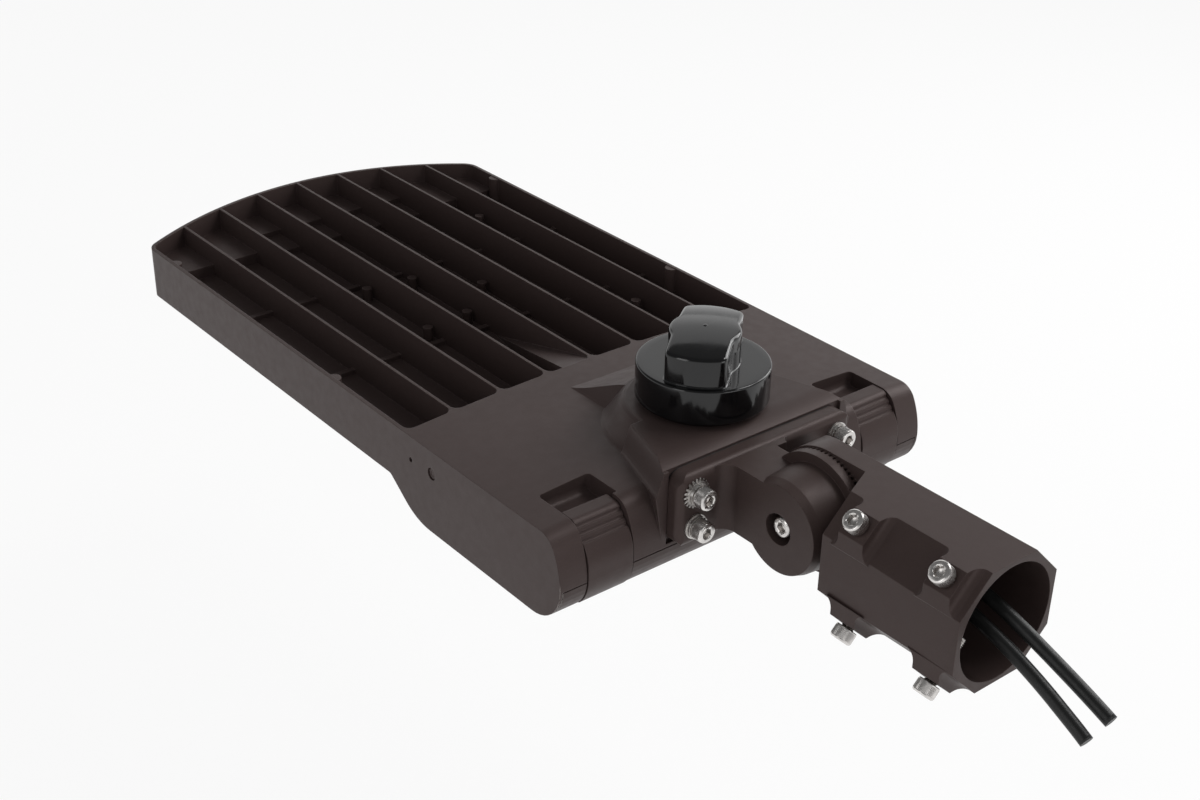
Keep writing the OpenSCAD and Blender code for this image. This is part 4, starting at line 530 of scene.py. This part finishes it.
def mesh_piece(name, bm, material, body, *replaced):
    """Object from a bmesh in mm, riding on a body in place of CAD nodes."""
    mesh = bpy.data.meshes.new(name)
    bm.to_mesh(mesh)
    bm.free()
    mesh.transform(Matrix.Scale(MM, 4))
    mesh.materials.append(material)
    obj = bpy.data.objects.new(name, mesh)
    scene.collection.objects.link(obj)
    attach(obj, body)
    for node in replaced:
        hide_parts(node)
    return obj


def aimed(place, way, spin=0.0):
    """Matrix that takes +Z to way and the origin to place."""
    turned = Vector(way).to_track_quat("Z", "Y").to_matrix().to_4x4()
    return Matrix.Translation(place) @ turned @ Matrix.Rotation(spin, 4, "Z")


def screws(name, length, body, node, places):
    """One piece with a screw at each place, instead of the node's plain screws."""
    bm = bmesh.new()
    for place in places:
        add_screw(bm, length, place)
    return mesh_piece(name, bm, screw_steel, body, node)


screw_steel = steel("screw_steel", (0.74, 0.715, 0.695), (0.22, 0.34))

# the clamp screws stand at 45 degrees in two rows, on the side away from +X
CLAMP_ROWS, CLAMP_R, CLAMP_LENGTH = (17.4, 78.8), 48.9, 30.0
HALF = math.sqrt(0.5)
clamp_places = []
for i, (y, side) in enumerate((y, side) for y in CLAMP_ROWS for side in (1, -1)):
    seat = (-CLAMP_R * HALF, y, side * CLAMP_R * HALF)
    clamp_places.append(aimed(seat, (-HALF, 0, side * HALF), 0.4 + 1.1 * i))
screws("clamp_screws_detailed", CLAMP_LENGTH, "slipfitter", "clamp_screws", clamp_places)

KNUCKLE_SEAT, KNUCKLE_LENGTH = (-23.4, 139, 0), 61.9
knuckle_place = aimed(KNUCKLE_SEAT, (-1, 0, 0), 0.3)
screws("knuckle_bolt_detailed", KNUCKLE_LENGTH, "slipfitter", "knuckle_bolt", [knuckle_place])

# the toothed lock washer lifts the first bolt
BOLT_SEATS = ((-57.8, 179.2, 11.8), (57.8, 179.9, 11.8), (-57.8, 179.9, -10.8), (57.8, 179.9, -10.8))
BOLT_LENGTH = 30.0
bolt_places = [aimed(seat, (0, -1, 0), 0.2 + 0.7 * i) for i, seat in enumerate(BOLT_SEATS)]
screws("bracket_bolts_detailed", BOLT_LENGTH, "head", "bracket_bolts", bolt_places)


# Shorting cap with rounded edges

# sizes of the cap in mm: its ring, its hollow and the grip on top
CAP_C = (0.0, 244.5)
CAP_R, CAP_LOW, RING_TOP = 42.0, 29.8, 55.9
CAP_IN_R, CAP_IN_TOP = 35.0, 50.0
LIP_R, LIP_TOP = 41.6, 33.0
GRIP_HALF, GRIP_END_R, GRIP_MID_R = 19.0, 38.5, 22.5
GRIP_TURN = math.radians(38.5)
GRIP_TOP, GRIP_FALL, GRIP_EDGE = 79.4, 4.5, 2.4
GATE_R, GATE_SIDES, CAP_SIDES = 1.3, 24, 144


def turned_profile(bm, profile, n):
    """Closed shell of an outline of (radius, z) points about the cap's axis."""
    rings = [[bm.verts.new(p) for p in round_row(r, z, n, CAP_C)] for r, z in profile]
    for a, b in zip(rings, rings[1:]):
        for k in range(n):
            bm.faces.new((a[k], a[(k + 1) % n], b[(k + 1) % n], b[k])).smooth = True
    bm.faces.new(rings[0])
    bm.faces.new(rings[-1])


def quarter(cx, cz, r, a0, a1, n):
    """Points of an arc in the profile's plane, from angle a0 to a1 in degrees."""
    return [(cx + r * math.cos(math.radians(a0 + (a1 - a0) * i / n)),
             cz + r * math.sin(math.radians(a0 + (a1 - a0) * i / n))) for i in range(n + 1)]


def grip_outline(step=0.7, spread=3):
    """Plan of the grip in its own directions, evenly spaced and with soft corners."""
    end, mid = math.asin(GRIP_HALF / GRIP_END_R), math.asin(GRIP_HALF / GRIP_MID_R)
    half_path = [(GRIP_END_R * math.cos(a), GRIP_END_R * math.sin(a)) for a in
                 [-end + 2 * end * i / 60 for i in range(61)]]
    half_path += [(GRIP_MID_R * math.cos(a), GRIP_MID_R * math.sin(a)) for a in
                  [mid + (math.pi - 2 * mid) * i / 60 for i in range(61)]]
    path = half_path + [(-x, -y) for x, y in half_path]
    points, left = [], 0.0
    for (x0, y0), (x1, y1) in zip(path, path[1:] + path[:1]):
        gap = math.hypot(x1 - x0, y1 - y0)
        while left < gap:
            points.append((x0 + (x1 - x0) * left / gap, y0 + (y1 - y0) * left / gap))
            left += step
        left -= gap
    for _ in range(2):
        n = len(points)
        near = range(-spread, spread + 1)
        points = [tuple(sum(points[(i + k) % n][c] for k in near) / len(near) for c in (0, 1))
                  for i in range(n)]
    return points


def grip_top_z(x, y):
    """Height of the grip's domed top."""
    dome = (GRIP_END_R ** 2 + GRIP_FALL ** 2) / (2 * GRIP_FALL)
    return GRIP_TOP - dome + math.sqrt(dome * dome - x * x - y * y)


def grip(bm):
    """Raised grip whose side turns over a round edge into the domed top."""
    outline = grip_outline()
    n = len(outline)
    inward = []
    for i in range(n):
        (x0, y0), (x1, y1) = outline[i - 1], outline[(i + 1) % n]
        d = math.hypot(x1 - x0, y1 - y0)
        inward.append((-(y1 - y0) / d, (x1 - x0) / d))
    levels = []
    turns = [math.radians(9 * i) for i in range(11)]
    edge_steps = [(GRIP_EDGE * (1 - math.cos(a)), GRIP_EDGE * (1 - math.sin(a))) for a in turns]
    for r_in, drop in [(-1.0, None), (0.0, None), *edge_steps]:
        row = []
        for (x, y), (u, v) in zip(outline, inward):
            px, py = x + u * r_in, y + v * r_in
            if drop is None:
                z = RING_TOP - 0.4 if r_in < 0 else RING_TOP + 0.6
            else:
                z = grip_top_z(px, py) - drop
            row.append((px, py, z))
        levels.append(row)
    rim = levels[-1]
    for share in (0.9, 0.75, 0.6, 0.45, 0.3, 0.15):
        levels.append([(x * share, y * share, grip_top_z(x * share, y * share)) for x, y, _ in rim])
    place = Matrix.Translation((*CAP_C, 0)) @ Matrix.Rotation(GRIP_TURN, 4, "Z")
    rows = [[place @ Vector(p) for p in row] for row in levels]
    shell(bm, rows, finish=place @ Vector((0, 0, grip_top_z(0, 0))))


cap = bmesh.new()
turned_profile(cap, [
    (0.5, CAP_IN_TOP),
    (CAP_IN_R - 0.5, CAP_IN_TOP),
    (CAP_IN_R, CAP_IN_TOP - 0.5),
    (CAP_IN_R, CAP_LOW + 0.4),
    (CAP_IN_R + 0.4, CAP_LOW),
    *quarter(CAP_IN_R + 2.2, CAP_LOW + 0.5, 0.5, -90, -40, 3),
    (LIP_R, LIP_TOP),
    *quarter(LIP_R - 0.4, LIP_TOP + 0.9, 0.8, -40, 0, 3),
    *quarter(CAP_R - 1.5, RING_TOP - 1.5, 1.5, 0, 90, 7),
    (CAP_R - 6, RING_TOP),
    (CAP_R - 12, RING_TOP),
    (0.5, RING_TOP),
], CAP_SIDES)
grip(cap)
# moulding gate, a small pip in the middle of the grip
gate = ((GATE_R, -1.0), (GATE_R, 0.15), (GATE_R - 0.25, 0.35), (GATE_R - 0.8, 0.39))
shell(cap, [round_row(r, GRIP_TOP + z, GATE_SIDES, CAP_C) for r, z in gate])
bmesh.ops.recalc_face_normals(cap, faces=cap.faces)
for edge in cap.edges:
    edge.smooth = len(edge.link_faces) == 2 and edge.calc_face_angle(0.0) < math.radians(35)
mesh_piece("cap_body", cap, black_gloss, "cap", "shorting_cap")


# Floor, light and world

FLOOR_Z, FLOOR_REACH = -0.35, 6.0


def seen_factor(nt):
    """1 for what the camera, gloss and glass see, 0 for what lights the object."""
    path = nt.nodes.new("ShaderNodeLightPath").outputs
    total = path["Is Camera Ray"]
    # the largest of the three, since a ray can be of two kinds
    for ray in ("Is Transmission Ray", "Is Glossy Ray"):
        larger = nt.nodes.new("ShaderNodeMath")
        larger.operation = "MAXIMUM"
        nt.links.new(total, larger.inputs[0])
        nt.links.new(path[ray], larger.inputs[1])
        total = larger.outputs[0]
    return total


def map_range(nt, value, lo, hi, to_lo, to_hi):
    n = nt.nodes.new("ShaderNodeMapRange")
    for key, number in (("From Min", lo), ("From Max", hi), ("To Min", to_lo), ("To Max", to_hi)):
        if isinstance(number, bpy.types.NodeSocket):
            nt.links.new(number, n.inputs[key])
        else:
            n.inputs[key].default_value = number
    nt.links.new(value, n.inputs["Value"])
    return n.outputs["Result"]


# white backdrop up to the horizon and a dim studio ceiling above it
world = bpy.data.worlds.new("studio")
world.use_nodes = True
scene.world = world
wt = world.node_tree
background = wt.nodes["Background"]
background.inputs["Color"].default_value = (1.0, 1.0, 1.0, 1.0)
sky_way = wt.nodes.new("ShaderNodeSeparateXYZ")
wt.links.new(wt.nodes.new("ShaderNodeTexCoord").outputs["Generated"], sky_way.inputs[0])
ceiling = map_range(wt, sky_way.outputs["Z"], 0.08, 0.45, 1.0, 0.16)
lit = map_range(wt, seen_factor(wt), 0.0, 1.0, 0.34, ceiling)
wt_path = wt.nodes.new("ShaderNodeLightPath").outputs["Is Camera Ray"]
strength = map_range(wt, wt_path, 0.0, 1.0, lit, 1.0)
wt.links.new(strength, background.inputs["Strength"])


def area_light(name, place, target, size, power):
    """Rectangular softbox at a place, turned towards the target; power in watts."""
    data = bpy.data.lights.new(name, "AREA")
    data.shape = "RECTANGLE"
    data.size, data.size_y = size
    data.energy = power
    obj = bpy.data.objects.new(name, data)
    obj.location = place
    obj.rotation_mode = "QUATERNION"
    obj.rotation_quaternion = (Vector(target) - Vector(place)).to_track_quat("-Z", "Y")
    scene.collection.objects.link(obj)
    return obj


MIDDLE = (0.0, 0.38, 0.0)
area_light("far_box", (1.15, 1.65, 1.05), MIDDLE, (1.9, 1.0), 4)
area_light("right_box", (1.9, 0.2, 0.95), MIDDLE, (0.9, 1.4), 17)
area_light("top_box", (1.05, -0.2, 1.5), (0.0, 0.2, 0.0), (0.75, 0.6), 10)
area_light("left_box", (-1.7, 0.0, 0.75), MIDDLE, (0.6, 1.0), 4)
area_light("front_box", (0.2, -1.6, 0.6), MIDDLE, (0.9, 0.5), 4)

floor_mesh = bpy.data.meshes.new("floor")
corners = [(x * FLOOR_REACH, y * FLOOR_REACH, FLOOR_Z) for x, y in ((-1, -1), (1, -1), (1, 1), (-1, 1))]
floor_mesh.from_pydata(corners, [], [(0, 1, 2, 3)])
floor = bpy.data.objects.new("floor", floor_mesh)
scene.collection.objects.link(floor)
floor_mat = bpy.data.materials.new("floor_white")
floor_mat.use_nodes = True
ft = floor_mat.node_tree
floor_shader = ft.nodes["Principled BSDF"]
floor_shader.inputs["Base Color"].default_value = (0.9, 0.9, 0.9, 1)
floor_shader.inputs["Roughness"].default_value = 0.9
floor_shader.inputs["Specular IOR Level"].default_value = 0.1
glow = ft.nodes.new("ShaderNodeEmission")
glow.inputs["Strength"].default_value = 1.0
both = ft.nodes.new("ShaderNodeMixShader")
ft.links.new(map_range(ft, seen_factor(ft), 0.0, 1.0, 0.0, 0.9), both.inputs[0])
ft.links.new(floor_shader.outputs[0], both.inputs[1])
ft.links.new(glow.outputs[0], both.inputs[2])
ft.links.new(both.outputs[0], ft.nodes["Material Output"].inputs["Surface"])
floor_mesh.materials.append(floor_mat)

scene.view_settings.view_transform = "Standard"
